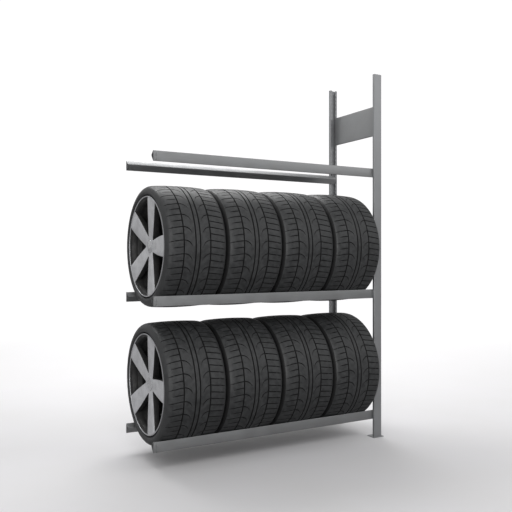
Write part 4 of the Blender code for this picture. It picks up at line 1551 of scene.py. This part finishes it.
@dataclass
class Wheels:
    """Eight wheels in two rows, each piece riding on its own wheel's body."""

    joints: dict[str, dict[str, Any]]
    cad_nodes: dict[str, bpy.types.Object]
    tyres: Tyres = field(default_factory=Tyres)
    rims: Rims = field(default_factory=Rims)
    turn_step: float = 24.0        # degrees from one wheel of a row to the next
    bead_play: float = 0.3 * MM
    pattern_body: str = "level_1_wheel_1"    # the wheel whose CAD gives the sizes of all

    def build(self) -> None:
        """Make the meshes once, and put a tyre, a rim, spokes, a cap and a valve in every wheel."""
        radius, half = self.cad_size("tyre")
        lip_radius, rim_half = self.cad_size("rim")
        bead = lip_radius - self.rims.flange_height + self.bead_play
        meshes = {
            "barrel": (self.rims.barrel_mesh(lip_radius, rim_half), RIM_PAINT, "rim"),
            "spokes": (self.rims.spokes_mesh(lip_radius, rim_half), SPOKE_LACQUER, "rim"),
            "cap": (self.rims.cap_mesh(rim_half), CAP_ALLOY, "centre_cap"),
            "valve": (self.rims.valve_mesh(lip_radius, rim_half), VALVE_RUBBER, None),
        }
        for number in WHEEL_PLACES:
            # sides next to another wheel, where the tyre gets painted shade
            covered = (number > WHEEL_PLACES[0], number < WHEEL_PLACES[-1])
            tyre = self.tyres.mesh(radius, half, bead, covered)
            meshes["cut_tread"] = (tyre, SIDEWALL_RUBBER, "tyre")
            for level in LOADED_LEVELS:
                body = f"level_{level}_wheel_{number}"
                low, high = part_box(f"{body}_tyre")
                turn = math.radians((number - 1) * self.turn_step)
                centre = Vector(((low.x + high.x) / 2, 0.0, self.axis_height(body)))
                place = Matrix.Translation(centre) @ Matrix.Rotation(turn, 4, "X")
                for name, (mesh, finish, part) in meshes.items():
                    nodes = [f"{body}_{part}"] if part else []
                    fit_to_rack(put(f"{body}_{name}", mesh, place), body, finish, *nodes)

    def axis_height(self, body: str) -> float:
        """Height of a wheel's axis, from its joint."""
        return self.joints[f"{body}_turn"]["pos_m"][2]

    def cad_size(self, part: str) -> Point2:
        """Radius about the wheel's axis and half of the width of the CAD's tyre or rim."""
        node = f"{self.pattern_body}_{part}"
        low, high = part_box(node)
        axis = self.axis_height(self.pattern_body)
        points = self.cad_nodes[node].data.vertices
        radius = max(math.hypot(point.co.y, point.co.z - axis) for point in points)
        return radius, (high.x - low.x) / 2


# ---------------------------------------------------------------------------------------------
# Studio
# ---------------------------------------------------------------------------------------------


@dataclass(frozen=True)
class Softbox:
    """A soft rectangular lamp: where it hangs, what it points at, its width and height, its watts."""

    name: str
    place: Point3
    target: Point3
    size: Point2
    power: float

    def hang(self) -> None:
        """Add the lamp to the scene."""
        light = bpy.data.lights.new(self.name, "AREA")
        light.shape = "RECTANGLE"
        light.size, light.size_y = self.size
        light.energy = self.power
        lamp = bpy.data.objects.new(self.name, light)
        bpy.context.scene.collection.objects.link(lamp)
        lamp.location = self.place
        aim = Vector(self.target) - Vector(self.place)
        lamp.rotation_euler = aim.to_track_quat("-Z", "Y").to_euler()


SOFTBOXES = (
    Softbox("back_softbox", (0.2, 1.9, 4.0), (0.0, 0.0, 0.6), (3.6, 1.8), 92.0),
    Softbox("front_softbox", (-2.3, -4.4, 1.0), (-0.2, 0.0, 0.5), (3.0, 1.5), 60.0),
    Softbox("high_softbox", (-2.0, -4.0, 4.2), (0.0, 0.0, 2.1), (3.0, 2.5), 60.0),
    Softbox("right_softbox", (3.2, -3.4, 3.6), (0.2, 0.0, 0.9), (3.2, 3.0), 27.0),
)


@dataclass
class Studio:
    """Pale floor, white surround, soft lamps and the camera."""

    camera_place: Point3 = (-1.7118, -2.9998, 0.998)
    camera_yaw: float = 29.42          # degrees to the right of +Y
    lens: float = 45.6
    floor_size: float = 60.0
    floor_drop: float = 0.4 * MM       # below the rack's feet, so that no two faces coincide
    horizon_light: float = 0.46        # what the surround gives as a lamp at the horizon
    upper_light: float = 0.50          # and what it gives from upper_height on
    upper_height: float = 0.8          # sine of the angle over the horizon
    surround_shown: float = 1.05       # what the camera sees of it

    def floor(self) -> None:
        """A large flat floor that isn't part of the rack."""
        half = self.floor_size / 2
        shell = Shell([(x, y, 0.0) for x, y in rectangle(-half, -half, half, half)], [(0, 1, 2, 3)], [0])
        floor = shell.piece("studio_floor", [FLOOR_PAINT], None)
        floor.location.z = -self.floor_drop

    def world(self) -> None:
        """An even white surround, dimmer as a lamp than it looks."""
        world = bpy.data.worlds.new("white_studio")
        bpy.context.scene.world = world
        world.use_nodes = True
        tree = world.node_tree
        tree.nodes.clear()
        rays = add_node(tree, "ShaderNodeLightPath")
        place = add_node(tree, "ShaderNodeTexCoord")
        parts = add_node(tree, "ShaderNodeSeparateXYZ", {0: place.outputs["Generated"]})
        strength = ramped(tree, parts.outputs["Z"], self.horizon_light, self.upper_light,
                          0.0, self.upper_height)
        glow = add_node(tree, "ShaderNodeBackground", {"Color": WHITE, "Strength": strength})
        seen = add_node(tree, "ShaderNodeBackground",
                        {"Color": WARM_WHITE, "Strength": self.surround_shown})
        mix = add_node(tree, "ShaderNodeMixShader",
                       {0: rays.outputs["Is Camera Ray"], 1: glow.outputs[0], 2: seen.outputs[0]})
        add_node(tree, "ShaderNodeOutputWorld", {"Surface": mix.outputs[0]})

    def camera(self) -> None:
        """The camera, level and looking slightly to the right."""
        data = bpy.data.cameras.new("camera")
        data.lens = self.lens
        data.sensor_width = 36.0
        data.dof.use_dof = False
        camera = bpy.data.objects.new("camera", data)
        bpy.context.scene.collection.objects.link(camera)
        camera.location = self.camera_place
        camera.rotation_euler = (math.pi / 2, 0.0, -math.radians(self.camera_yaw))
        bpy.context.scene.camera = camera

    def build(self) -> None:
        """Set up the whole studio."""
        self.floor()
        self.world()
        for softbox in SOFTBOXES:
            softbox.hang()
        self.camera()
        bpy.context.scene.view_settings.view_transform = "Standard"


def main() -> None:
    logging.basicConfig(level=logging.INFO, format="%(name)s: %(message)s")
    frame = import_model()
    joints = {joint["name"]: joint for joint in frame["joints"]}
    posts = Uprights()
    posts.build()
    Beams().build(posts)
    FramePanels().build()
    FootPlates().build()
    Fasteners().build()
    Wheels(joints, frame["nodes"]).build()
    Studio().build()


if __name__ == "__main__":
    main()
